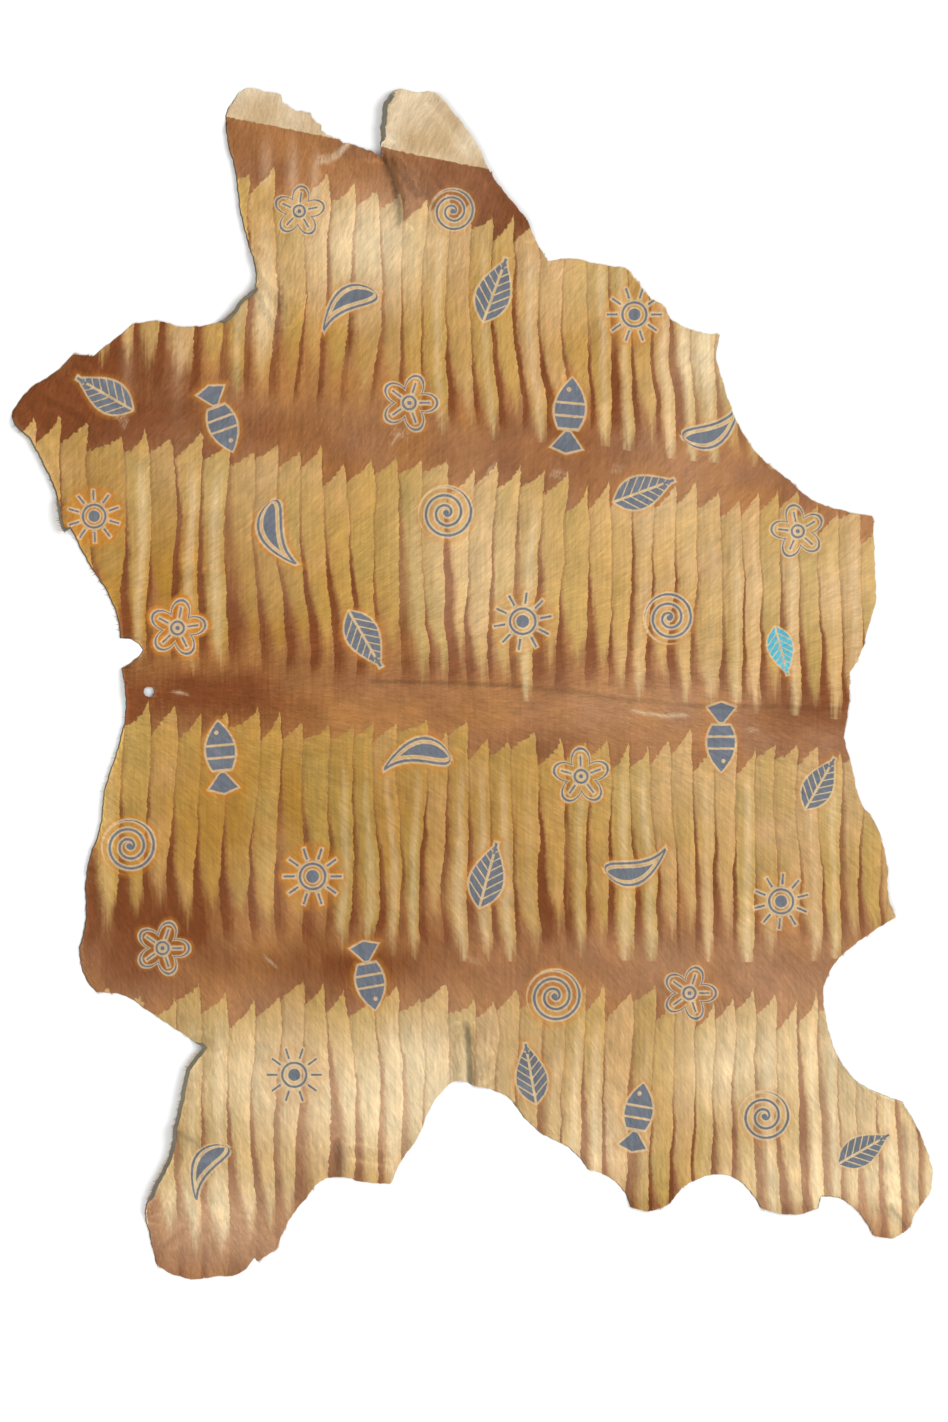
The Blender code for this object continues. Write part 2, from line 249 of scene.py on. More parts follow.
@dataclass
class CutEdge:
    """The closed loops of the cut edge and the flaw hole, read from the solid's upper face.

    Attributes:
        least_rise: A face of the solid with this much of its normal upwards is an upper one.
        corner_turn: A turn sharper than this stays a corner, in radians.
        parts: Points that each of the solid's edges is divided into.
        raggedness: How far the knife strayed, in metres.
        torn_middle: Middle of the stretch that is torn instead of cut, in metres.
        torn_reach: How far that stretch reaches across and up, in metres.
    """

    least_rise: float = 0.02
    corner_turn: float = math.radians(26.0)
    parts: int = 3
    raggedness: float = 0.5 * MM
    torn_middle: tuple[float, float] = (-0.180, 0.670)
    torn_reach: tuple[float, float] = (0.060, 0.040)

    def loops(self, solid: bpy.types.Object) -> list[Array]:
        """The loops of the solid's upper face, the longest first, with the skin on their left.

        Args:
            solid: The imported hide.

        Returns:
            One array of points for each loop, in metres.
        """
        mesh = solid.data
        places = np.empty(len(mesh.vertices) * 3)
        mesh.vertices.foreach_get("co", places)
        places = places.reshape(-1, 3)
        corners = np.empty(len(mesh.loops), dtype=np.int64)
        mesh.loops.foreach_get("vertex_index", corners)
        normals = np.empty(len(mesh.polygons) * 3)
        mesh.polygons.foreach_get("normal", normals)
        upper = normals.reshape(-1, 3)[:, 2] > self.least_rise
        keys, merged = np.unique(np.round(places * 1.0e5), axis=0, return_inverse=True)
        faces = merged.reshape(-1)[corners].reshape(-1, 3)[upper]
        sides = np.vstack([faces[:, (k, (k + 1) % 3)] for k in range(3)])
        code = sides[:, 0] * len(keys) + sides[:, 1]
        back = sides[:, 1] * len(keys) + sides[:, 0]
        free = sides[~np.isin(code, back)]
        follow = dict(zip(free[:, 0].tolist(), free[:, 1].tolist()))
        found = []
        while follow:
            chain = [next(iter(follow))]
            while chain[-1] in follow:
                chain.append(follow.pop(chain[-1]))
            found.append(keys[chain[:-1], :2] * 1.0e-5)
        return sorted(found, key=len, reverse=True)

    def smooth(self, loop: Array) -> Array:
        """Finer points on a loop, as a cubic through its own points that keeps its corners.

        Args:
            loop: Closed loop of points.

        Returns:
            The finer loop: between two points the curve is their cubic Hermite blend, with the
            chord between a point's neighbours as its slope, or the next chord at a corner.
        """
        ahead = np.roll(loop, -1, axis=0) - loop
        behind = loop - np.roll(loop, 1, axis=0)
        turn = np.arctan2(ahead[:, 1], ahead[:, 0]) - np.arctan2(behind[:, 1], behind[:, 0])
        sharp = (np.abs((turn + math.pi) % (2.0 * math.pi) - math.pi) > self.corner_turn)[:, None]
        slope = 0.5 * (ahead + behind)
        leave = np.where(sharp, ahead, slope)
        arrive = np.roll(np.where(sharp, behind, slope), -1, axis=0)
        part = (np.arange(self.parts) / self.parts)[None, :, None]
        square, cube = part * part, part * part * part
        fine = ((2 * cube - 3 * square + 1) * loop[:, None] + (cube - 2 * square + part) * leave[:, None]
                + (3 * square - 2 * cube) * (loop + ahead)[:, None] + (cube - square) * arrive[:, None])
        return fine.reshape(-1, 2)

    def roughen(self, loop: Array, seed: int) -> Array:
        """The loop with the small waves of a hand-held knife, as sines of the way along it.

        Args:
            loop: Closed loop of points.
            seed: Seed of the waves' phases.

        Returns:
            The moved points.
        """
        draws = np.random.default_rng(seed)
        steps = np.linalg.norm(np.roll(loop, -1, axis=0) - loop, axis=1)
        way = np.concatenate(([0.0], np.cumsum(steps)[:-1])) / steps.sum()
        shift = np.zeros(len(loop))
        for wave in (10.0, 15.0, 24.0, 38.0):
            turns = max(1, round(steps.sum() / (wave * MM)))
            shift += np.sin(2.0 * math.pi * (turns * way + draws.random())) * draws.uniform(0.3, 0.6)
        torn = 1.0 + 3.6 * np.exp(-(((loop - self.torn_middle) / self.torn_reach) ** 2).sum(axis=1))
        shift *= torn
        return loop + outward(loop) * (shift * self.raggedness)[:, None]


def outward(loop: Array) -> Array:
    """Unit vectors out of the skin at each point of a loop that has the skin on its left."""
    run = np.roll(loop, -1, axis=0) - np.roll(loop, 1, axis=0)
    run /= np.linalg.norm(run, axis=1, keepdims=True)
    return np.column_stack((run[:, 1], -run[:, 0]))


def inside(points: Array, loop: Array) -> Array:
    """Whether each point lies inside a closed loop, by counting the edges above it.

    Args:
        points: Points in the plane.
        loop: Closed loop of points.

    Returns:
        True for each point inside.
    """
    found = np.zeros(len(points), dtype=bool)
    across, up = points[:, 0], points[:, 1]
    for start, end in zip(loop, np.roll(loop, -1, axis=0)):
        crosses = (start[0] > across) != (end[0] > across)
        if crosses.any():
            rise = (end[1] - start[1]) / (end[0] - start[0])
            found[crosses] ^= start[1] + (across[crosses] - start[0]) * rise > up[crosses]
    return found


def nearest_edge(points: Array, edge: Array, reach: float) -> tuple[Array, Array]:
    """Distance from each point to the edge's points, and which of them is nearest.

    Args:
        points: Points in the plane.
        edge: Points of all loops.
        reach: Distances past this needn't be told apart.

    Returns:
        The distances, cut off at reach, and the index of the nearest edge point.
    """
    least = np.full(len(points), reach)
    which = np.zeros(len(points), dtype=np.int64)
    order = np.argsort(points[:, 0], kind="stable")
    sorted_across = points[order, 0]
    for index, place in enumerate(edge):
        low, high = np.searchsorted(sorted_across, (place[0] - reach, place[0] + reach))
        near = order[low:high]
        gap = np.hypot(points[near, 0] - place[0], points[near, 1] - place[1])
        closer = gap < least[near]
        least[near[closer]] = gap[closer]
        which[near[closer]] = index
    return least, which


# The print's layout

class Motif(Enum):
    """The small ornaments of the print, each with the number that its material tells it by."""

    FLOWER = 1
    LEAF = 2
    SUN = 3
    SPIRAL = 4
    PAISLEY = 5
    FISH = 6
    BLUE_LEAF = 7


@dataclass(frozen=True)
class Placed:
    """One ornament on the hide, in the tables' mm, with half its length and its turn in degrees."""

    kind: Motif
    across: float
    up: float
    half_length: float
    turn: float


ORNAMENTS = tuple(Placed(*row) for row in (
    (Motif.FLOWER, -206, 566, 34, 12), (Motif.SPIRAL, -22, 566, 30, 40),
    (Motif.PAISLEY, -150, 452, 42, 35), (Motif.LEAF, 28, 470, 46, 70),
    (Motif.SUN, 196, 442, 36, 0), (Motif.LEAF, -438, 346, 44, 150),
    (Motif.FISH, -300, 316, 46, -70), (Motif.FLOWER, -74, 336, 38, 0),
    (Motif.FISH, 118, 322, 50, 85), (Motif.PAISLEY, 292, 306, 42, -150),
    (Motif.SUN, -452, 200, 34, 20), (Motif.PAISLEY, -232, 178, 44, 110),
    (Motif.SPIRAL, -30, 204, 36, 0), (Motif.LEAF, 206, 230, 44, 20),
    (Motif.FLOWER, 392, 182, 36, 30), (Motif.FLOWER, -352, 66, 38, 8),
    (Motif.LEAF, -128, 54, 44, -60), (Motif.SUN, 62, 74, 38, 10),
    (Motif.SPIRAL, 238, 78, 34, 90), (Motif.BLUE_LEAF, 372, 40, 34, -75),
    (Motif.FISH, -300, -88, 48, 95), (Motif.PAISLEY, -66, -88, 44, 10),
    (Motif.FLOWER, 132, -112, 38, 20), (Motif.FISH, 300, -66, 46, -90),
    (Motif.LEAF, 418, -122, 40, 60), (Motif.SPIRAL, -410, -196, 36, 20),
    (Motif.SUN, -190, -232, 38, 0), (Motif.LEAF, 20, -232, 46, 75),
    (Motif.PAISLEY, 200, -220, 42, 200), (Motif.SUN, 372, -262, 36, 14),
    (Motif.FLOWER, -370, -318, 36, 0), (Motif.FISH, -122, -352, 46, -80),
    (Motif.SPIRAL, 100, -376, 36, 0), (Motif.FLOWER, 262, -372, 36, 0),
    (Motif.SUN, -212, -470, 36, 0), (Motif.PAISLEY, -318, -584, 40, 60),
    (Motif.LEAF, 72, -470, 42, 100), (Motif.FISH, 200, -520, 46, 80),
    (Motif.SPIRAL, 352, -520, 34, 0), (Motif.LEAF, 470, -560, 40, 30),
))


class Tone(Enum):
    """What a patch of the print does to its colours: the column that it fills."""

    PALE = 0
    GOLD = 1
    DARK = 2


@dataclass(frozen=True)
class Patch:
    """A soft patch of one tone, in the tables' mm: full at its middle and gone past its reach."""

    tone: Tone
    amount: float
    across: float
    up: float
    reach_across: float
    reach_up: float


# Amount, across, up, reach across and reach up of each tone's patches
PATCH_ROWS = {
    Tone.PALE: (
        # The first pale patch, at -122, 532, and the third, at 276, 398, are painted highlights, pools of
        # light on the hair; the rest are the print's pale tones
        (0.80, -122, 532, 80, 62), (0.60, -248, 450, 22, 52), (0.70, 276, 398, 34, 56),
        (0.36, -266, -476, 70, 60), (0.75, -104, -516, 110, 60), (0.50, -62, -452, 50, 56),
        (0.62, 304, -464, 62, 58), (0.30, -86, -452, 280, 90), (0.50, 400, -440, 90, 100),
        (0.16, 330, 20, 240, 460), (0.30, 480, -540, 80, 80), (0.25, 0, 150, 120, 100),
        (0.75, -246, 622, 7, 26), (0.95, -214, 612, 7, 34), (0.80, -187, 608, 6, 26),
        (0.25, -412, 380, 9, 40), (0.25, -352, 372, 9, 50), (0.50, 360, -600, 90, 50),
        (0.50, 500, -610, 70, 60), (0.85, -310, -650, 110, 60), (0.30, 240, -20, 140, 40),
        (0.25, 260, -330, 200, 50), (0.55, 160, -560, 60, 60),
    ),
    Tone.GOLD: (
        (1.00, -308, 92, 170, 110), (0.90, -430, 190, 110, 130), (0.45, -250, -340, 130, 30),
        (0.22, -60, -20, 700, 700), (0.85, -236, -176, 200, 120), (0.26, 106, -200, 200, 240),
        (0.55, -180, 380, 170, 80), (0.45, 190, 420, 110, 70), (0.40, 110, -480, 100, 70),
    ),
    Tone.DARK: (
        (0.95, -482, 342, 100, 70), (0.50, -356, 322, 140, 36), (0.85, -338, -14, 140, 38),
        (0.30, -460, 130, 90, 120), (0.55, 90, 610, 60, 40), (0.45, 160, 300, 120, 40),
        (0.42, 420, -32, 70, 30), (0.55, -404, -332, 90, 66), (0.90, 42, 572, 48, 50),
        (0.45, -36, 604, 70, 40), (0.10, 214, -620, 60, 30), (0.50, -286, 270, 120, 46),
        (0.50, -440, -10, 60, 60), (0.45, -350, -270, 110, 60), (0.35, -180, -330, 160, 30),
        (0.35, 60, 250, 160, 34), (0.35, -230, -590, 60, 60), (0.30, 20, -340, 160, 26),
    ),
}
PATCHES = tuple(Patch(tone, *row) for tone, rows in PATCH_ROWS.items() for row in rows)


@dataclass(frozen=True)
class WearAndShadeLine:
    """A fine line in the tables' mm: pale where the printed hair has worn off, or, with an amount below
    zero, painted shade along a crease or fold."""

    half_width: float
    amount: float
    line: tuple[tuple[float, float], ...]


WEAR_AND_SHADE_LINES = tuple(WearAndShadeLine(*row) for row in (
    (2.0, 1.00, ((-184, 627), (-168, 629), (-158, 635), (-152, 643), (-147, 648))),
    (1.2, 0.7, ((-424, 322), (-416, 316), (-414, 309))),
    (1.2, 0.7, ((96, 252), (106, 250), (114, 246))),
    (1.0, 0.6, ((170, 258), (182, 256))),
    (1.2, 0.7, ((-354, -10), (-343, -14))),
    (1.2, 0.7, ((-94, 302), (-82, 300), (-76, 296))),
    (1.4, 0.7, ((196, -34), (232, -40), (256, -38))),
    (1.0, 0.6, ((330, -58), (342, -54))),
    (1.0, 0.6, ((20, 250), (26, 262))),
    (1.0, 0.5, ((-8, -330), (10, -334))),
    (1.0, 0.5, ((180, -330), (194, -326))),
    (1.2, 0.6, ((-246, -330), (-236, -338))),
    (1.0, 0.6, ((-86, 296), (-96, 288))),
    # Amounts below zero from here on: painted shade along the creases and folds
    (2.6, -0.20, ((60, -4), (120, -10), (180, -19), (275, -28), (360, -29))),
    (2.2, -0.16, ((360, -29), (410, -30), (447, -31))),
    (2.2, -0.30, ((-120, 2), (-20, 0), (60, -4))),
    (2.8, -0.60, ((-104, 630), (-95, 606), (-88, 580), (-85, 552))),
    (2.2, -0.50, ((-94, 628), (-78, 604), (-62, 584))),
    (1.8, -0.35, ((-82, 622), (-58, 598), (-44, 570))),
    (3.0, -0.60, ((-4, -412), (-2, -450), (-1, -484))),
    (2.2, -0.40, ((-262, 508), (-252, 482), (-228, 450))),
    (2.2, -0.35, ((-258, 470), (-246, 444), (-232, 424))),
    (2.0, -0.40, ((-158, -552), (-156, -592))),
    (2.0, -0.35, ((503, -628), (520, -650))),
    (2.0, -0.30, ((-357, -534), (-326, -554))),
))


@dataclass(frozen=True)
class PrintLayout:
    """Where the print's rows, tones and ornaments lie, worked out for any points of the skin.

    Attributes:
        row_start: Height of the first row's tips at the middle, in mm.
        row_tilt: Fall of the rows along the hide, in mm for each mm.
        row_pitch: Distance from one row's tips to the next at the middle, in mm.
        row_narrowing: How much less that is for each mm to the right.
        columns: Feathers for each mm at the middle.
        column_growth: How much more that is for each mm to the right.
        motif_reach: Reach of an ornament with its halo, in half lengths.
    """

    row_start: float = 574.0
    row_tilt: float = 0.155
    row_pitch: float = 314.0
    row_narrowing: float = 0.05
    columns: float = 0.03574
    column_growth: float = 0.00000611
    motif_reach: float = 1.2

    def grid(self, table: Array) -> Array:
        """Running column and row at each point.

        Rows: how far the point is below the first tips, over the pitch there. Columns: the way
        across times the columns for each mm, with widths that vary by a smooth noise. Both
        places are first moved by smooth noises, and the first row leans in at the left.

        Args:
            table: Points in the tables' mm.

        Returns:
            One row for each point: running column, running row and the pitch in mm.
        """
        across = (table[:, 0] + 11.0 * smooth_noise(table, 150.0, 1) + 4.0 * smooth_noise(table, 38.0, 2)
                  + 2.2 * smooth_noise(table, 14.0, 3))
        up = table[:, 1] + 10.0 * smooth_noise(table, 150.0, 4) + 4.0 * smooth_noise(table, 34.0, 5)
        pitch = self.row_pitch - across * self.row_narrowing
        rows = (self.row_start - across * self.row_tilt - up) / pitch
        leans = np.clip((-40.0 - across) / 220.0, 0.0, 1.0) * np.clip((0.98 - rows) / 0.1, 0.0, 1.0)
        across = across + 0.06 * pitch * leans * np.clip(rows, 0.0, 1.0)
        vary = smooth_noise(np.column_stack((across, rows * 120.0)), 52.0, 6)
        columns = across * (across * self.column_growth + self.columns) + 0.55 * vary
        return np.column_stack((columns, rows, pitch))

    def tones(self, table: Array) -> Array:
        """Tones at each point, with two painted highlights among the pale ones: every patch adds its
        amount times a bell of the distance, and smooth noises make the pale and the dark uneven.

        Args:
            table: Points in the tables' mm.

        Returns:
            One row of pale, gold and dark for each point.
        """
        tones = np.zeros((len(table), 3))
        for patch in PATCHES:
            across = (table[:, 0] - patch.across) / patch.reach_across
            up = (table[:, 1] - patch.up) / patch.reach_up
            tones[:, patch.tone.value] += patch.amount * np.exp(-(across * across + up * up))
        tones[:, Tone.PALE.value] += 0.35 * smooth_noise(table, 120.0, 7)
        tones[:, Tone.DARK.value] += (0.6 * smooth_noise(table, 38.0, 8)
                                      + 0.5 * smooth_noise(table, 130.0, 9))
        return tones

    def cast(self, table: Array) -> Array:
        """Warmth and lightness at each point, as smooth noises, and its worn line or line of painted
        crease shade.

        Args:
            table: Points in the tables' mm.

        Returns:
            One row for each point: warmth, lightness, and the share that has worn off, or below zero the
                share of painted shade along a crease or fold.
        """
        warm = 0.9 * smooth_noise(table, 36.0, 10)
        light = 0.6 * smooth_noise(table, 22.0, 11) + 0.5 * smooth_noise(table, 8.0, 12)
        # Worn lines add above zero; painted shade along creases and folds adds below zero
        wear_and_shade = np.zeros(len(table))
        for wear_and_shade_line in WEAR_AND_SHADE_LINES:
            line = np.array(wear_and_shade_line.line, dtype=float)
            low, high = line.min(axis=0) - 9.0, line.max(axis=0) + 9.0
            near = np.nonzero(((table > low) & (table < high)).all(axis=1))[0]
            gap = Fold(wear_and_shade_line.half_width, 0.0, wear_and_shade_line.line).gap((table[near] - TABLE_MIDDLE) * MM)
            share = np.clip(1.6 - gap / (wear_and_shade_line.half_width * MM), 0.0, 1.0)
            wear_and_shade[near] += wear_and_shade_line.amount * share
        return np.column_stack((warm, light, wear_and_shade))

    def motifs(self, middles: Array, corners: Array) -> tuple[Array, Array]:
        """Each corner's place in the ornament that its face lies in, and the ornament's number.

        Args:
            middles: The middle of each face, in the tables' mm.
            corners: The corners of each face, as faces by corners by two, in the tables' mm.

        Returns:
            Places, as faces by corners by three, with across and up in half lengths; and one
            number for each face, which is 0 outside the ornaments.
        """
        places = np.zeros((*corners.shape[:2], 3))
        kinds = np.zeros(len(middles), dtype=np.int32)
        for item in ORNAMENTS:
            middle = np.array((item.across, item.up))
            near = np.linalg.norm(middles - middle, axis=1) < item.half_length * self.motif_reach
            turn = math.radians(item.turn)
            gap = (corners[near] - middle) / item.half_length
            places[near, :, 0] = gap[:, :, 0] * math.cos(turn) + gap[:, :, 1] * math.sin(turn)
            places[near, :, 1] = gap[:, :, 1] * math.cos(turn) - gap[:, :, 0] * math.sin(turn)
            kinds[near] = item.kind.value
        return places, kinds

    def dress(self, piece: bpy.types.Object, table: Array, tone_and_edge_shade: Array) -> None:
        """Puts the print's attributes on a piece.

        Args:
            piece: The piece.
            table: Its points in the tables' mm.
            tone_and_edge_shade: Tone of the hair at each point, from 0 to 1, with painted shade near the
                cut edge.
        """
        add_vectors(piece, "print_at", "POINT", self.grid(table))
        add_vectors(piece, "place", "POINT", np.column_stack((table, tone_and_edge_shade)))
        add_vectors(piece, "tone", "POINT", self.tones(table))
        add_vectors(piece, "cast", "POINT", self.cast(table))


# Formulas in a material's node tree

@dataclass(frozen=True)
class Wire:
    """A number in a node tree. A sign between wires adds the maths node for it."""

    tree: bpy.types.NodeTree
    socket: bpy.types.NodeSocket

    def sum_node(self, operation: str, *others: "Wire | float") -> "Wire":
        """A maths node on this wire.

        Args:
            operation: The node's operation.
            others: The other terms.

        Returns:
            The node's result.
        """
        node = self.tree.nodes.new("ShaderNodeMath")
        node.operation = operation
        for socket, term in zip(node.inputs, (self, *others)):
            feed(self.tree, socket, term)
        return Wire(self.tree, node.outputs[0])

    def __add__(self, other: "Wire | float") -> "Wire":
        """This wire plus another term."""
        return self.sum_node("ADD", other)

    def __sub__(self, other: "Wire | float") -> "Wire":
        """This wire less another term."""
        return self.sum_node("SUBTRACT", other)

    def __rsub__(self, other: float) -> "Wire":
        """A number less this wire."""
        return self.sum_node("MULTIPLY_ADD", -1.0, other)

    def __mul__(self, other: "Wire | float") -> "Wire":
        """This wire times another term."""
        return self.sum_node("MULTIPLY", other)

    def __truediv__(self, other: "Wire | float") -> "Wire":
        """This wire over another term."""
        return self.sum_node("DIVIDE", other)

    def __pow__(self, other: "Wire | float") -> "Wire":
        """This wire to a power."""
        return self.sum_node("POWER", other)

    def __abs__(self) -> "Wire":
        """This wire without its sign."""
        return self.sum_node("ABSOLUTE")

    def floor(self) -> "Wire":
        """The whole number below."""
        return self.sum_node("FLOOR")

    def part(self) -> "Wire":
        """What is over the whole number below."""
        return self.sum_node("FRACT")

    def sine(self) -> "Wire":
        """The sine of this wire."""
        return self.sum_node("SINE")

    def cosine(self) -> "Wire":
        """The cosine of this wire."""
        return self.sum_node("COSINE")

    def least(self, other: "Wire | float") -> "Wire":
        """The lower of two."""
        return self.sum_node("MINIMUM", other)

    def most(self, other: "Wire | float") -> "Wire":
        """The higher of two."""
        return self.sum_node("MAXIMUM", other)

    def held(self, high: float = 1.0) -> "Wire":
        """This wire, kept from 0 to a limit."""
        return self.most(0.0).least(high)

    def step(self, low: "Wire | float", high: "Wire | float") -> "Wire":
        """A soft step: 0 at low, 1 at high, and a smooth curve between; low may be over high."""
        node = self.tree.nodes.new("ShaderNodeMapRange")
        node.interpolation_type = "SMOOTHSTEP"
        for socket, term in zip(node.inputs, (self, low, high, 0.0, 1.0)):
            feed(self.tree, socket, term)
        return Wire(self.tree, node.outputs[0])


def feed(tree: bpy.types.NodeTree, socket: bpy.types.NodeSocket, term: "Wire | float | tuple") -> None:
    """Links a wire to a socket, or sets the socket to a number or colour.

    Args:
        tree: The node tree.
        socket: The socket to feed.
        term: The wire, number or colour.
    """
    if isinstance(term, Wire):
        tree.links.new(term.socket, socket)
    elif isinstance(term, tuple) and len(term) < len(socket.default_value):
        socket.default_value = (*term, 1.0)
    else:
        socket.default_value = term


@dataclass(frozen=True)
class Formula:
    """The textures, attributes and mixes of one material's node tree."""

    tree: bpy.types.NodeTree

    def node(self, kind: str, **settings: object) -> bpy.types.Node:
        """A new node with its settings."""
        node = self.tree.nodes.new(kind)
        for name, value in settings.items():
            setattr(node, name, value)
        return node

    def split(self, vector: Wire) -> tuple[Wire, Wire, Wire]:
        """The three parts of a vector."""
        node = self.node("ShaderNodeSeparateXYZ")
        feed(self.tree, node.inputs[0], vector)
        return tuple(Wire(self.tree, socket) for socket in node.outputs)

    def join(self, *parts: "Wire | float") -> Wire:
        """A vector of up to three parts."""
        node = self.node("ShaderNodeCombineXYZ")
        for socket, term in zip(node.inputs, parts):
            feed(self.tree, socket, term)
        return Wire(self.tree, node.outputs[0])

    def attribute(self, name: str) -> Wire:
        """A vector that the mesh holds."""
        node = self.node("ShaderNodeAttribute", attribute_type="GEOMETRY", attribute_name=name)
        return Wire(self.tree, node.outputs["Vector"])

    def noise(self, place: Wire, seed: float, detail: float = 1.0,
              flat: bool = True) -> tuple[Wire, Wire, Wire]:
        """Three smooth noises about zero, each within about a half, that change once a unit.

        Args:
            place: Where to read the noise, in units of its grain.
            seed: Which noise of many.
            detail: How many finer noises are laid over it.
            flat: Whether the noise changes in the plane alone.

        Returns:
            The three noises.
        """
        node = self.node("ShaderNodeTexNoise", noise_dimensions="2D" if flat else "3D")
        moved = self.node("ShaderNodeVectorMath", operation="ADD")
        feed(self.tree, moved.inputs[0], place)
        moved.inputs[1].default_value = (seed * 31.7, seed * -17.3, seed * 11.9)
        self.tree.links.new(moved.outputs[0], node.inputs["Vector"])
        node.inputs["Scale"].default_value = 1.0
        node.inputs["Detail"].default_value = detail
        parts = self.split(Wire(self.tree, node.outputs["Color"]))
        return tuple(part - 0.5 for part in parts)

    def draw(self, *cell: "Wire | float") -> tuple[Wire, Wire, Wire]:
        """Three numbers from 0 to 1 that are drawn once for each cell."""
        node = self.node("ShaderNodeTexWhiteNoise", noise_dimensions="3D")
        feed(self.tree, node.inputs["Vector"], self.join(*cell))
        return self.split(Wire(self.tree, node.outputs["Color"]))

    def mix(self, share: "Wire | float", first: "Wire | tuple", second: "Wire | tuple") -> Wire:
        """A colour between two, at that share of the second."""
        node = self.node("ShaderNodeMix", data_type="RGBA")
        feed(self.tree, node.inputs[0], share)
        feed(self.tree, node.inputs[6], first)
        feed(self.tree, node.inputs[7], second)
        return Wire(self.tree, node.outputs[2])

    def shade(self, colour: "Wire | tuple", factor: Wire) -> Wire:
        """A colour made lighter or darker by a factor."""
        node = self.node("ShaderNodeVectorMath", operation="SCALE")
        feed(self.tree, node.inputs[0], colour)
        feed(self.tree, node.inputs["Scale"], factor)
        return Wire(self.tree, node.outputs[0])


# Ornament shapes: each gives a distance that is below zero in the ink, in half lengths

def polar(across: Wire, up: Wire) -> tuple[Wire, Wire]:
    """Distance from the ornament's middle, and the turn about it in radians."""
    reach = (across * across + up * up) ** 0.5
    return reach, up.sum_node("ARCTAN2", across)


def flower(across: Wire, up: Wire) -> Wire:
    """Five outlined petals round a ringed eye: the outline's reach swells with the cosine of two
    and a half turns, and a short vein runs out along each petal."""
    reach, turn = polar(across, up)
    swell = abs((turn * 2.5).cosine())
    outline = abs(reach - (swell * 0.42 + 0.46)) - 0.036
    eye = abs(reach - 0.20) - 0.036
    vein = (abs((turn * 2.5).sine()) * reach * 0.4 - 0.028).most(0.32 - reach).most(reach - 0.66)
    return outline.least(eye).least(vein).least(reach - 0.07)


def leaf(across: Wire, up: Wire) -> Wire:
    """A filled leaf on a stem: its half width is a parabola along it, and a midrib and slanted
    veins are left bare."""
    width = (1.0 - across * across * 1.35) * (across * -0.18 + 0.42)
    body = abs(up) - width
    rib = 0.035 - abs(up)
    vein = 0.02 - abs(((across - abs(up) * 0.9) * 4.0).part() - 0.5) * 0.22
    stem = (abs(up) - 0.035).most(across - 0.9).most(0.6 - across)
    return body.most(rib).most(vein).least(stem)


def sun(across: Wire, up: Wire) -> Wire:
    """A ringed disc with ten short rays."""
    reach, turn = polar(across, up)
    ring = abs(reach - 0.40) - 0.038
    ray = (abs((turn * 5.0).sine()) * reach * 0.22 - 0.036).most(0.56 - reach).most(reach - 0.92)
    return ring.least(ray).least(reach - 0.2)


def spiral(across: Wire, up: Wire) -> Wire:
    """One line that winds out: its reach grows by a fixed step with each turn."""
    reach, turn = polar(across, up)
    line = abs((reach * 3.0 - turn * (0.5 / math.pi)).part() - 0.5) * 0.333 - 0.042
    return line.most(reach - 0.88).least(reach - 0.10)


def paisley(across: Wire, up: Wire) -> Wire:
    """A bent drop: its half width grows from the tip to a round end, and its middle line bends
    as a parabola. An outline runs round a smaller filled drop."""
    bent = up + across * across * 0.42 - 0.16
    way = across * 0.55 + 0.5
    width = (way.most(0.0) * (1.0 - way).most(0.0)) ** 0.5 * (way * 0.85 + 0.12)
    outline = abs(abs(bent) - width) - 0.036
    outline = outline.most(abs(across) - 0.92)
    core = abs(bent) - width + 0.15
    return outline.least(core)


def fish(across: Wire, up: Wire) -> Wire:
    """A filled body with bare cross stripes and a bare eye, and a forked tail."""
    along = across - 0.12
    body = abs(up) - (1.0 - along * along * 1.75) * 0.36
    stripe = 0.03 - abs((along * 3.2).part() - 0.5) * 0.31
    stripe = stripe.most(along * -1.0 - 0.45).least(0.30 - along)
    eye = 0.055 - ((along - 0.48) * (along - 0.48) + (up - 0.06) * (up - 0.06)) ** 0.5
    tail = (abs(up) - (across * -0.80 - 0.28)).most(-0.92 - across - abs(up) * -0.35).most(across + 0.42)
    return body.most(stripe).most(eye).least(tail)


MOTIF_SHAPES = {Motif.FLOWER: flower, Motif.LEAF: leaf, Motif.SUN: sun, Motif.SPIRAL: spiral,
                Motif.PAISLEY: paisley, Motif.FISH: fish, Motif.BLUE_LEAF: leaf}


# Finishes

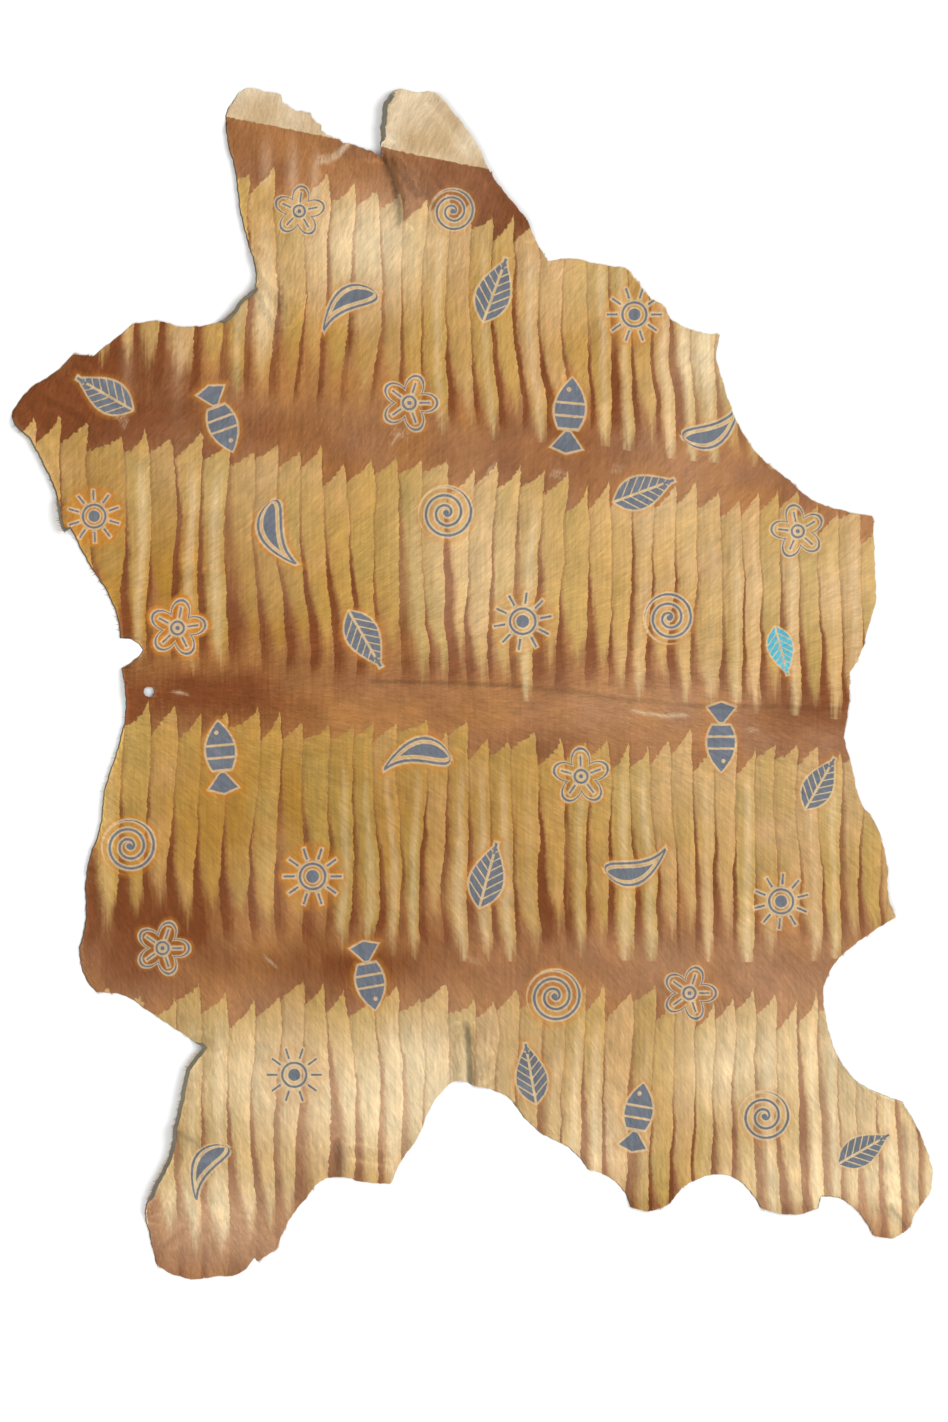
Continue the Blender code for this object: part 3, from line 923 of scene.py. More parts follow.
@dataclass(frozen=True)
class FeatherPrint:
    """The printed hair: rows of feather stripes between brown bands, and small inked ornaments.

    Attributes:
        motif: The ornament that this finish has on it, if any.
        band_share: Share of a row's pitch over its tips that is its band.
        last_row: Number of the lowest row.
        last_growth: How much longer its feathers are, in mm.
    """

    motif: Motif | None = None
    band_share: float = 0.12
    last_row: float = 3.0
    last_growth: float = 42.0
    beige: Colour = srgb(208, 171, 104)
    gold: Colour = srgb(186, 138, 54)
    olive: Colour = srgb(190, 160, 88)
    rose: Colour = srgb(212, 172, 130)
    cream: Colour = srgb(240, 220, 180)
    brown: Colour = srgb(182, 126, 76)
    red_brown: Colour = srgb(136, 76, 38)
    plum: Colour = srgb(160, 112, 86)
    amber: Colour = srgb(198, 144, 72)
    tan: Colour = srgb(212, 172, 134)
    bare_hair: Colour = srgb(236, 218, 186)
    bare_tan: Colour = srgb(206, 174, 126)
    worn_hair: Colour = srgb(228, 206, 172)
    ink: Colour = srgb(112, 122, 136)
    blue_ink: Colour = srgb(84, 192, 212)
    halo: Colour = srgb(228, 208, 168)
    glow: Colour = srgb(214, 140, 46)
    roughness: float = 0.62

    def feather_share(self, depth: Wire, pitch: Wire, way: Wire, first: tuple, second: tuple,
                      streak: Wire, jag: Wire, lowest: Wire) -> tuple[Wire, Wire]:
        """How much of a spot is feather, and how much of it is the brown beside a feather.

        The tip is at the right of the column and its edge falls to the left as a power of the
        way back. The lower end fades out, last at three quarters across. The brown beside the
        feather starts sharply at the column's left and fades to the right, wider further down.

        Args:
            depth: Depth below the row's tips, in mm.
            pitch: Depth of the next row's tips, in mm.
            way: Way across the column.
            first: Three numbers drawn for the cell.
            second: Three more.
            streak: Noise drawn out along the feathers.
            jag: Fine noise.
            lowest: 1 in the lowest row and 0 elsewhere.

        Returns:
            The feather's share and the wedge's share.
        """
        back = (0.93 - way).most(0.0) / 0.93
        tip = ((first[0] - 0.5) * 24.0 + back ** (first[2] * 0.5 + 0.45) * (first[1] * 22.0 + 18.0)
               + (way - 0.93).most(0.0) * 140.0)
        top = (depth - tip + jag * 7.0).step(-0.8, 0.8)
        tongue = 1.0 - abs(way - 0.74) * 2.4
        end = tongue * 38.0 + (second[0] - 0.5) * 60.0 + lowest * self.last_growth + 210.0
        fade = (depth + streak * 44.0).step(end + 24.0, end - 26.0)
        onset = second[1] * 120.0 + 10.0
        width = depth.step(onset, onset + 180.0) * (second[2] * 0.62 + 0.16) + 0.14
        strength = depth.step(onset - 30.0, onset + 80.0) * (first[1] * 0.55 + 0.42) + 0.34
        wedge = (way + streak * 0.14).step(width, width * 0.2) * (strength + streak * 0.6)
        last = pitch * (lowest * 0.25 + 0.87)
        wedge = (wedge * depth.step(-2.0, 16.0) * depth.step(last, last - 40.0)).held()
        return top * fade * (1.0 - wedge), wedge

    def inked(self, form: Formula, ground: Wire, gold: Wire, jag: Wire, light: Wire) -> Wire:
        """The ornament printed over a ground: a warm glow, a pale halo and the ink.

        Args:
            form: The formula builder.
            ground: Colour of the print under it.
            gold: The gold tone.
            jag: Fine noise that frays the ink's edge.
            light: How light or dark the ink is.

        Returns:
            The colour.
        """
        across, up, _ = form.split(form.attribute("motif"))
        distance = MOTIF_SHAPES[self.motif](across, up) + jag * 0.02
        colour = form.mix(distance.step(0.24, 0.07) * (gold * 0.5 + 0.15), ground, self.glow)
        colour = form.mix(distance.step(0.085, 0.03) * 0.7, colour, self.halo)
        ink = form.shade(self.blue_ink if self.motif is Motif.BLUE_LEAF else self.ink, light)
        return form.mix(distance.step(0.010, -0.010) * 0.94, colour, ink)

    def colour(self, form: Formula) -> Wire:
        """The print's colour at a spot."""
        columns, rows, pitch = form.split(form.attribute("print_at"))
        across, up, tone_and_edge_shade = form.split(form.attribute("place"))
        pale, gold, dark = form.split(form.attribute("tone"))
        warm, light, wear_and_shade = form.split(form.attribute("cast"))
        jag = form.noise(form.join(across / 5.0, up / 5.0), 4.0)
        streak, streak_two, _ = form.noise(form.join(across / 3.4, up / 46.0), 5.0)
        row = (rows + self.band_share).floor().held(self.last_row)
        depth = (rows - row) * pitch + jag[1] * 2.6
        columns = columns + jag[0] * 0.10
        column = columns.floor()
        way = columns - column
        first = form.draw(column, row, 0.5)
        second = form.draw(column, row, 7.5)
        share, wedge = self.feather_share(depth, pitch, way, first, second, streak, jag[2],
                                          row.step(self.last_row - 0.6, self.last_row - 0.4))

        body = form.mix(gold.least(1.0), self.beige, self.gold)
        shift = first[2] - 0.5 + warm
        body = form.mix((shift * -1.0).held(0.6), body, self.olive)
        body = form.mix((shift * 0.7 * (1.2 - gold)).held(0.4), body, self.rose)
        inner = (abs(way - 0.66)).step(0.34, 0.0) * depth.step(16.0, 80.0) * second[0].step(0.35, 0.9)
        body = form.mix((pale + inner * 0.34).held(), body, self.cream)
        lit = (way - 0.5) * 0.18 + (first[1] - 0.5) * 0.12 + streak * 0.30 + light * 0.20 + 1.0
        body = form.shade(body, lit)

        ground = form.mix((0.3 - warm * 1.2).held(0.8), self.brown, self.plum)
        ground = form.mix((gold * 0.55).least(0.5), ground, self.amber)
        deep = dark * 1.15 + wedge * 0.9 + streak_two * 0.4 + 0.08
        ground = form.mix(deep.held(), ground, self.red_brown)
        ground = form.mix((pale * 0.95).held(), ground, self.tan)
        ground = form.shade(ground, streak * 0.14 + light * 0.24 + jag[0] * 0.14 + 1.0)
        printed = form.mix(share, ground, body)

        bare = form.mix((warm * 1.4 + dark * 0.4 + 0.25).held(), self.bare_hair, self.bare_tan)
        bare_share = (up - 620.5 + across * 0.2 + jag[0] * 3.0).step(-0.8, 0.8)
        printed = form.mix(bare_share, printed, bare)
        if self.motif is not None:
            printed = self.inked(form, printed, gold, jag[1], streak * 0.3 + light * 0.25 + 1.0)
        printed = form.mix(wear_and_shade.held(), printed, self.worn_hair)
        # Painted shade: darker along creases and folds, and by each hair's tone, which holds painted
        # shade near the cut edge
        return form.shade(printed, ((tone_and_edge_shade - 0.5) * 0.32 + 1.0) * (wear_and_shade.least(0.0) + 1.0))

    def material(self) -> bpy.types.Material:
        """The finish as a material."""
        name = "printed_hair" + (f"_{self.motif.name.lower()}" if self.motif else "")
        material, shader, form = blank_material(name)
        feed(form.tree, shader.inputs["Base Color"], self.colour(form))
        shader.inputs["Roughness"].default_value = self.roughness
        shader.inputs["Specular IOR Level"].default_value = 0.14
        return material


@dataclass(frozen=True)
class Suede:
    """The flesh side or the raw cut edge: grey, fibrous leather with a dull nap.

    Attributes:
        name: The material's name.
        light: Colour of the raised nap.
        dark: Colour of the nap that lies down.
        vein: Colour of the faint veins.
    """

    name: str
    light: Colour
    dark: Colour
    vein: Colour
    roughness: float = 0.92

    def material(self) -> bpy.types.Material:
        """The finish as a material, read from the Object coordinates in mm."""
        material, shader, form = blank_material(self.name)
        source = form.node("ShaderNodeTexCoord")
        place = Wire(form.tree, source.outputs["Object"])
        across, up, high = (part * 1000.0 for part in form.split(place))
        cloud, cloud_two, _ = form.noise(form.join(across / 70.0, up / 70.0, high / 9.0), 1.0, 3.0, False)
        nap, fibre, _ = form.noise(form.join(across / 1.4, up / 1.4, high / 0.5), 2.0, 3.0, False)
        vein = abs(cloud_two).step(0.02, 0.0) * 0.35
        tone = (cloud * 1.4 + nap * 0.9 + 0.5).held()
        colour = form.mix(vein, form.mix(tone, self.dark, self.light), self.vein)
        feed(form.tree, shader.inputs["Base Color"], colour)
        shader.inputs["Roughness"].default_value = self.roughness
        shader.inputs["Specular IOR Level"].default_value = 0.15
        shader.inputs["Sheen Weight"].default_value = 0.25
        shader.inputs["Sheen Roughness"].default_value = 0.6
        add_bump(form, shader, nap + fibre * 0.5, 0.5, 0.3 * MM)
        return material


@dataclass(frozen=True)
class PaleFloor:
    """The plain matt floor under the hide."""

    colour: Colour = (0.93, 0.93, 0.925)

    def material(self) -> bpy.types.Material:
        """The finish as a material."""
        material, shader, _ = blank_material("pale_floor")
        shader.inputs["Base Color"].default_value = (*self.colour, 1.0)
        shader.inputs["Roughness"].default_value = 0.95
        shader.inputs["Specular IOR Level"].default_value = 0.1
        return material


# Dark grey-olive suede: partly the flesh side's own colour, partly painted shade for the strips that the
# rolled edges show
SHADED_FLESH_SIDE = Suede("suede", srgb(124, 118, 100), srgb(84, 80, 66), srgb(74, 68, 56))
RAW_EDGE = Suede("raw_edge", srgb(96, 92, 78), srgb(58, 56, 48), srgb(70, 66, 56))


def blank_material(name: str) -> tuple[bpy.types.Material, bpy.types.Node, Formula]:
    """A new material.

    Args:
        name: The material's name.

    Returns:
        The material, its shader node and the formula builder for its tree.
    """
    material = bpy.data.materials.new(name)
    material.use_nodes = True
    tree = material.node_tree
    return material, tree.nodes["Principled BSDF"], Formula(tree)


def add_bump(form: Formula, shader: bpy.types.Node, height: Wire, strength: float,
             distance: float) -> None:
    """Lays a fine relief on a shader.

    Args:
        form: The formula builder.
        shader: The shader node.
        height: The relief.
        strength: Its strength.
        distance: Its full height, in metres.
    """
    bump = form.node("ShaderNodeBump")
    bump.inputs["Strength"].default_value = strength
    bump.inputs["Distance"].default_value = distance
    feed(form.tree, bump.inputs["Height"], height)
    form.tree.links.new(bump.outputs["Normal"], shader.inputs["Normal"])


# Meshes

def new_piece(name: str, places: Array, faces: Array) -> bpy.types.Object:
    """A piece of triangles in the scene.

    Args:
        name: The piece's name.
        places: Its points, one row of three for each, in metres.
        faces: Its triangles, one row of three point numbers for each.

    Returns:
        The new object, at the origin.
    """
    mesh = bpy.data.meshes.new(name)
    mesh.vertices.add(len(places))
    mesh.vertices.foreach_set("co", places.astype(np.float32).ravel())
    mesh.loops.add(faces.size)
    mesh.loops.foreach_set("vertex_index", faces.astype(np.int32).ravel())
    mesh.polygons.add(len(faces))
    mesh.polygons.foreach_set("loop_start", np.arange(0, faces.size, 3, dtype=np.int32))
    mesh.update(calc_edges=True)
    piece = bpy.data.objects.new(name, mesh)
    bpy.context.scene.collection.objects.link(piece)
    return piece


def add_vectors(piece: bpy.types.Object, name: str, domain: str, values: Array) -> None:
    """Puts an attribute of one vector for each point or face corner on a piece."""
    layer = piece.data.attributes.new(name, "FLOAT_VECTOR", domain)
    layer.data.foreach_set("vector", values.astype(np.float32).ravel())


def add_map(piece: bpy.types.Object, places: Array) -> None:
    """Puts the flat map for baking on a piece, with one row of two for each face corner."""
    layer = piece.data.uv_layers.new(name="OFBake")
    layer.data.foreach_set("uv", places.astype(np.float32).ravel())


@dataclass
class Skin:
    """The leather itself: a closed thin sheet on the solid's folds.

    Attributes:
        thickness: Thickness of the skin without its hair, in metres.
        step: Distance between mesh points where the skin is flat, in metres.
        fold_step: Distance between mesh points along a fold, in metres.
        chamfer: How far the cut edge slants in at the hair side, in metres.
        left_shade_chamfer: How much further it does where it faces left, in metres, so that more of the
            dark raw edge shows there as painted shade.
        roll_rise: Height of a rolled edge over its width in plan.
        least_gap: Mesh points closer together than this are one, in metres.
        edge_margin: Least distance from an inner mesh point to the cut edge, in metres.
        roll_margin: The same, past the start of a roll.
        full_curl: Distance from a curl's line up to which the edge rolls in full, in metres.
        curl_fade: Distance over which the roll fades out after that, in metres.
        least_turn: An edge that turns less than this isn't rolled, in radians.
        prints: The print's finishes: the plain one, then one for each ornament.
        layout: Where the print's tones and ornaments lie.
    """

    prints: list[bpy.types.Material]
    thickness: float = 1.5 * MM
    step: float = 6.2 * MM
    fold_step: float = 4.0 * MM
    chamfer: float = 0.3 * MM
    left_shade_chamfer: float = 1.1 * MM
    roll_rise: float = 0.6
    least_gap: float = 1.8 * MM
    edge_margin: float = 2.6 * MM
    roll_margin: float = 1.0 * MM
    full_curl: float = 4.0 * MM
    curl_fade: float = 14.0 * MM
    least_turn: float = 0.05
    layout: PrintLayout = PrintLayout()
    edge: Array = field(default=None, init=False)
    edge_out: Array = field(default=None, init=False)
    flat: Array = field(default=None, init=False)
    upper: Array = field(default=None, init=False)
    triangles: Array = field(default=None, init=False)
    edge_gap: Array = field(default=None, init=False)
    edge_nearest: Array = field(default=None, init=False)
    curl_reach: Array = field(default=None, init=False)
    curl_turn: Array = field(default=None, init=False)

    def inner_points(self, outline: Array, hole: Array) -> Array:
        """Mesh points inside the cut edge: staggered rows, and closer rows along every narrow fold.

        Args:
            outline: The cut edge.
            hole: The flaw hole's edge.

        Returns:
            The points, none too near to the edge or to each other.
        """
        low, high = outline.min(axis=0), outline.max(axis=0)
        ups = np.arange(low[1], high[1], self.step * math.sqrt(0.75))
        acrosses = np.arange(low[0], high[0], self.step)
        across, up = np.meshgrid(acrosses, ups)
        across[1::2] += self.step / 2.0
        plain = np.column_stack((across.ravel(), up.ravel()))
        close = np.ones(len(plain), dtype=bool)
        rows = []
        for fold in FOLDS:
            if fold.half_width * MM < 4.0 * self.step:
                close &= fold.gap(plain) > fold.half_width * MM
                rows.append(fold.rows(self.fold_step))
        points = np.vstack([plain[close]] + rows)
        _, kept = np.unique(np.floor(points / self.least_gap), axis=0, return_index=True)
        points = points[np.sort(kept)]
        gap, which = nearest_edge(points, self.edge, 8.0 * MM)
        points = points[gap > np.maximum(self.edge_margin, self.curl_reach[which] + self.roll_margin)]
        rows = []
        for share in (0.1, 0.2, 0.3, 0.4, 0.5, 0.6, 0.7, 0.8, 0.9, 1.0):
            depth = (share * self.curl_reach)[:, None]
            rows.append((self.edge - self.edge_out * depth)[self.curl_reach > 0.8 * MM])
        points = np.vstack([points] + rows)
        return points[inside(points, outline) & ~inside(points, hole)]

    def set_curls(self) -> None:
        """Sets how far and how wide each edge point rolls: in full along a curl's line, and less
        and less past it."""
        self.curl_reach = np.zeros(len(self.edge))
        self.curl_turn = np.zeros(len(self.edge))
        for curl in CURLS:
            gap = Fold(curl.reach, 0.0, curl.line).gap(self.edge)
            share = np.clip(1.0 - (gap - self.full_curl) / self.curl_fade, 0.0, 1.0)
            share = share * share * (3.0 - 2.0 * share)
            deeper = share * curl.reach * MM > self.curl_reach
            self.curl_reach[deeper] = (share * curl.reach * MM)[deeper]
            self.curl_turn[deeper] = (share * math.radians(curl.turn))[deeper]

    def roll(self, lower: Array) -> tuple[Array, Array]:
        """Rolls the edge of the lower face up where it curls.

        A point's way into the roll is how much nearer than the roll's reach it is to the edge,
        over that reach. It turns through that share of the full turn about the roll's centre
        line, whose radius puts the outermost point on the cut edge.

        Args:
            lower: Points of the flat lower face.

        Returns:
            The rolled points, and the direction of the hair side at each.
        """
        nearest = self.edge_nearest
        reach, full = self.curl_reach[nearest], self.curl_turn[nearest]
        rolls = (self.edge_gap < reach) & (full > self.least_turn)
        out = self.edge_out[nearest]
        way = np.where(rolls, 1.0 - self.edge_gap / np.maximum(reach, 1.0e-6), 0.0)
        turn = way * full
        radius = reach / np.sin(np.clip(full, self.least_turn, math.pi / 2.0))
        moved = lower.copy()
        start = self.edge[nearest] - out * reach[:, None]
        moved[rolls, :2] = (start + out * (radius * np.sin(turn))[:, None])[rolls]
        moved[:, 2] += np.where(rolls, self.roll_rise * radius * (1.0 - np.cos(turn)), 0.0)
        facing = np.column_stack((-out * np.sin(turn)[:, None], np.cos(turn)))
        return moved, facing

    def shape(self, solid: bpy.types.Object) -> None:
        """Works out the skin's points and triangles, with its height as a function of the place.

        Args:
            solid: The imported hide.
        """
        cutter = CutEdge()
        loops = cutter.loops(solid)
        outline = cutter.roughen(cutter.smooth(loops[0]), 11)
        hole = cutter.roughen(cutter.smooth(loops[1]), 12)
        self.edge = np.vstack((outline, hole))
        self.edge_out = np.vstack((outward(outline), outward(hole)))
        self.set_curls()
        inner = self.inner_points(outline, hole)
        ties = []
        start = 0
        for loop in (outline, hole):
            numbers = np.arange(start, start + len(loop))
            ties += np.column_stack((numbers, np.roll(numbers, -1))).tolist()
            start += len(loop)
        points = [Vector(place) for place in np.vstack((self.edge, inner))]
        inside_ties = 1
        result = delaunay_2d_cdt(points, ties, [], inside_ties, 1.0e-7)
        self.flat = np.array([tuple(place) for place in result[0]])
        triangles = np.array(result[2], dtype=np.int64)
        triangles = triangles[~inside(self.flat[triangles].mean(axis=1), hole)]
        first, second, third = (self.flat[triangles[:, k]] for k in range(3))
        leg, arm = second - first, third - first
        backwards = leg[:, 0] * arm[:, 1] - leg[:, 1] * arm[:, 0] < 0.0
        triangles[backwards] = triangles[backwards][:, ::-1]
        self.triangles = triangles
        self.edge_gap, self.edge_nearest = nearest_edge(self.flat, self.edge, 14.0 * MM)
        count = len(self.edge)
        self.edge_gap[:count], self.edge_nearest[:count] = 0.0, np.arange(count)

    def build(self, solid: bpy.types.Object) -> bpy.types.Object:
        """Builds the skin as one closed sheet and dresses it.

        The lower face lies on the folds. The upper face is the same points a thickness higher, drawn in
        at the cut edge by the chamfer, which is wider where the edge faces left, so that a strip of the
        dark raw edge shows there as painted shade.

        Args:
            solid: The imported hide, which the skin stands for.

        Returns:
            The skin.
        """
        self.shape(solid)
        count = len(self.flat)
        ground = ground_height(self.flat)
        lower, facing = self.roll(np.column_stack((self.flat, ground)))
        out = self.edge_out[self.edge_nearest]
        # Painted shade: the chamfer is wider where the edge faces left, away from the key light, and
        # shows more dark raw edge there
        slant = self.chamfer + self.left_shade_chamfer * np.maximum(-out[:, 0], 0.0)
        draw_in = slant * np.clip(1.0 - self.edge_gap / (3.0 * MM), 0.0, 1.0) * (facing[:, 2] > 0.99)
        upper = lower + facing * self.thickness
        upper[:, :2] -= out * draw_in[:, None]
        self.upper = upper
        sides = np.vstack([self.triangles[:, (k, (k + 1) % 3)] for k in range(3)])
        code, back = sides[:, 0] * count + sides[:, 1], sides[:, 1] * count + sides[:, 0]
        free = sides[~np.isin(code, back)]
        rim = np.vstack((np.column_stack((free[:, 1], free[:, 0], free[:, 0] + count)),
                         np.column_stack((free[:, 1], free[:, 0] + count, free[:, 1] + count))))
        faces = np.vstack((self.triangles, self.triangles[:, ::-1] + count, rim))
        piece = new_piece("hide_skin", np.vstack((upper, lower)), faces)
        self.dress(piece, faces, count)
        return piece

    def dress(self, piece: bpy.types.Object, faces: Array, count: int) -> None:
        """Gives the skin its finishes, the print's attributes and its flat map.

        Args:
            piece: The skin.
            faces: Its triangles: the upper face's, the lower face's, then the rim's.
            count: Points of the upper face.
        """
        mesh = piece.data
        for finish in (*self.prints, SHADED_FLESH_SIDE.material(), RAW_EDGE.material()):
            mesh.materials.append(finish)
        face_count = len(self.triangles)
        both = np.vstack((self.flat, self.flat))
        table = both / MM + TABLE_MIDDLE
        self.layout.dress(piece, table, np.full(2 * count, 0.5))
        motifs, kinds = self.layout.motifs(table[faces].mean(axis=1), table[faces])
        add_vectors(piece, "motif", "CORNER", motifs.reshape(-1, 3))
        kinds[face_count:2 * face_count] = len(self.prints)
        kinds[2 * face_count:] = len(self.prints) + 1
        mesh.polygons.foreach_set("material_index", kinds)
        mesh.polygons.foreach_set("use_smooth", kinds <= len(self.prints))
        corners = both[faces]
        low, high = self.flat.min(axis=0), self.flat.max(axis=0)
        spread = (corners - low) / (high - low) * (0.49, 0.96) + (0.005, 0.005)
        spread[face_count:2 * face_count, :, 0] += 0.5
        rim_count = (len(faces) - 2 * face_count) // 2
        way = np.arange(rim_count) / rim_count * 0.98 + 0.01
        step = 0.98 / rim_count
        rim = spread[2 * face_count:]
        rim[:] = 0.0
        first, second = rim[:rim_count], rim[rim_count:]
        first[:, :, 0] = way[:, None] + np.array((step, 0.0, 0.0))
        first[:, :, 1] = np.array((0.995, 0.995, 0.975))
        second[:, :, 0] = way[:, None] + np.array((step, 0.0, step))
        second[:, :, 1] = np.array((0.995, 0.975, 0.975))
        add_map(piece, spread.reshape(-1, 2))


@dataclass
class HairCoat:
    """The short calf hair: flat, pointed hairs that lie along the coat's flow.

    Attributes:
        skin: The skin that the hair grows on.
        strips: Pieces that the coat is parted into, from left to right.
        strip_hairs: Hairs of each piece.
        length: Length of a hair, in metres.
        width: Width of a hair at its root, in metres.
        lift: Angle of a hair over the skin, in radians.
        overhang: How far a hair may reach past the cut edge, in metres.
        tuft: How much further it may in a tuft.
        spine_up: Height of the spine, where the flow parts, in metres.
        steepest: Slant of the flow far from the spine, in radians.
        easing: Distance from the spine at which the slant is half of that, in metres.
        heading_spread: Spread of single hairs' headings, in radians.
        roll_spread: Spread of their turn about their own length, in radians.
        sunk: How far a root lies under the skin's face, in metres.
        least_length: Length that no hair falls short of, in metres.
        floor_gap: Height that no tip falls below, in metres.
        clump_cell: Side of a cell of the shades' lattice, in metres.
        clump_step: Step along the flow from one averaged cell to the next, in metres.
        edge_shade: Distance from the cut edge over which the hair is painted darker, as painted shade, in
            metres.
    """

    skin: Skin
    strips: int = 4
    strip_hairs: int = 195000
    length: float = 8.5 * MM
    width: float = 0.75 * MM
    lift: float = math.radians(8.0)
    overhang: float = 1.2 * MM
    tuft: float = 4.0 * MM
    spine_up: float = -10.0 * MM
    steepest: float = math.radians(88.0)
    easing: float = 0.18
    heading_spread: float = math.radians(9.0)
    roll_spread: float = math.radians(16.0)
    sunk: float = 0.15 * MM
    least_length: float = 1.5 * MM
    floor_gap: float = 0.4 * MM
    clump_cell: float = 2.2 * MM
    clump_step: float = 3.0 * MM
    edge_shade: float = 1.8 * MM

    def flow(self, flat: Array) -> Array:
        """Angle of the hair's flow: along the spine to the right, and turned outwards by up to a
        steep slant as the distance from the spine grows.

        Args:
            flat: Roots in the plane, in metres.

        Returns:
            One angle for each root, in radians.
        """
        aside = flat[:, 1] - self.spine_up
        turn = self.steepest * aside / (np.abs(aside) + self.easing)
        swirl = (np.sin(flat[:, 0] * 21.0 + 1.3 * np.sin(flat[:, 1] * 17.0))
                 + np.sin(flat[:, 1] * 33.0 + 2.0 * np.sin(flat[:, 0] * 13.0 + 1.0)))
        return turn + 0.10 * swirl

    def clumps(self, flat: Array) -> Array:
        """Shade of each hair, about a half: numbers drawn for a fine lattice, averaged over a few
        steps along the flow, so that hairs that lie in line share a shade.

        Args:
            flat: Roots in the plane, in metres.

        Returns:
            One shade for each hair.
        """
        lattice = np.random.default_rng(8).random((512, 512))
        angle = self.flow(flat)
        heading = np.column_stack((np.cos(angle), np.sin(angle)))
        shades = np.zeros(len(flat))
        for step in (-2, -1, 0, 1, 2):
            place = (flat + heading * step * self.clump_step) / self.clump_cell
            cell = np.floor(place).astype(np.int64) % len(lattice)
            shades += lattice[cell[:, 0], cell[:, 1]] / 5.0
        return 0.5 + 1.6 * (shades - 0.5)

    def roots(self, count: int) -> tuple[Array, Array]:
        """Evenly spread roots on the skin's upper face.

        The faces' areas are laid end to end and cut at even steps, and a two-number sequence of
        irrational steps gives the place in each face.

        Args:
            count: How many roots.

        Returns:
            The face of each root, and its three shares of the face's corners.
        """
        corners = self.skin.upper[self.skin.triangles]
        leg, arm = corners[:, 1] - corners[:, 0], corners[:, 2] - corners[:, 0]
        area = np.linalg.norm(np.cross(leg, arm), axis=1)
        total = np.cumsum(area)
        face = np.searchsorted(total, (np.arange(count) + 0.5) / count * total[-1])
        number = np.arange(count, dtype=float)
        first = (number * 0.7548776662466927) % 1.0
        second = (number * 0.5698402909980532) % 1.0
        over = first + second > 1.0
        first[over], second[over] = 1.0 - first[over], 1.0 - second[over]
        return face, np.column_stack((1.0 - first - second, first, second))

    def build(self) -> list[bpy.types.Object]:
        """Builds the coat.

        Each hair is one triangle: its two root corners lie across the flow on the skin, and its
        tip is a length away along the flow, lifted off the skin. Where the tip would pass the cut
        edge by more than the overhang, the hair is shorter.

        Returns:
            The strips.
        """
        skin = self.skin
        count = self.strips * self.strip_hairs
        draws = np.random.default_rng(5)
        face, share = self.roots(count)
        trio = skin.triangles[face]
        share = share[:, :, None]
        flat = (skin.flat[trio] * share).sum(axis=1)
        root = (skin.upper[trio] * share).sum(axis=1)
        corners, spots = skin.upper[skin.triangles], skin.flat[skin.triangles]
        legs = np.stack((corners[:, 1] - corners[:, 0], corners[:, 2] - corners[:, 0]), axis=2)
        steps = np.stack((spots[:, 1] - spots[:, 0], spots[:, 2] - spots[:, 0]), axis=2)
        stretch = (legs @ np.linalg.inv(steps))[face]
        normal = np.cross(legs[:, :, 0], legs[:, :, 1])
        normal = (normal / np.linalg.norm(normal, axis=1, keepdims=True))[face]
        angle = self.flow(flat) + draws.normal(0.0, self.heading_spread, count)
        heading = np.column_stack((np.cos(angle), np.sin(angle)))
        along = (stretch @ heading[:, :, None])[:, :, 0]
        along /= np.linalg.norm(along, axis=1, keepdims=True)
        aside = np.cross(normal, along)
        roll = draws.normal(0.0, self.roll_spread, count)[:, None]
        across = aside * np.cos(roll) + normal * np.sin(roll)
        gap = (skin.edge_gap[trio] * share[:, :, 0]).sum(axis=1)
        out = (skin.edge_out[skin.edge_nearest[trio]] * share).sum(axis=1)
        leaving = np.maximum((heading * out).sum(axis=1), 0.05)
        tuft = (np.sin(flat[:, 0] * 310.0 + 2.0 * np.sin(flat[:, 1] * 190.0))
                + np.sin(flat[:, 1] * 270.0 + 1.0))
        overhang = self.overhang + self.tuft * np.clip(tuft - 1.55, 0.0, 0.4) / 0.4
        room = (gap + overhang * draws.uniform(0.2, 1.0, count)) / leaving
        length = np.minimum(self.length * draws.normal(1.0, 0.12, count), room)
        length = np.maximum(length, self.least_length)[:, None]
        lift = (self.lift * draws.uniform(0.5, 1.5, count))[:, None]
        half = 0.5 * self.width * draws.uniform(0.75, 1.25, count)[:, None]
        base = root - normal * self.sunk
        tip = base + (along * np.cos(lift) + normal * np.sin(lift)) * length
        tip[:, 2] = np.maximum(tip[:, 2], self.floor_gap)
        places = np.stack((base - across * half, base + across * half, tip), axis=1)
        tone_and_edge_shade = self.clumps(flat) + 0.5 * (draws.random(count) - 0.5)
        # Painted shade: hairs near the cut edge are darker
        tone_and_edge_shade -= 1.2 * np.clip(1.0 - gap / self.edge_shade, 0.0, 1.0)
        table = places[:, :, :2] / MM + TABLE_MIDDLE
        motifs, kinds = skin.layout.motifs(table.mean(axis=1), table)
        order = np.argsort(flat[:, 0], kind="stable")
        pieces = []
        for number, chosen in enumerate(np.array_split(order, self.strips)):
            piece = new_piece(f"lying_hair_{number + 1}", places[chosen].reshape(-1, 3),
                              np.arange(3 * len(chosen)).reshape(-1, 3))
            skin.layout.dress(piece, table[chosen].reshape(-1, 2), np.repeat(tone_and_edge_shade[chosen], 3))
            add_vectors(piece, "motif", "POINT", motifs[chosen].reshape(-1, 3))
            add_map(piece, self.bake_map(places[chosen][:, :, :2], flat[chosen]))
            for finish in skin.prints:
                piece.data.materials.append(finish)
            piece.data.polygons.foreach_set("material_index", kinds[chosen])
            pieces.append(piece)
        return pieces

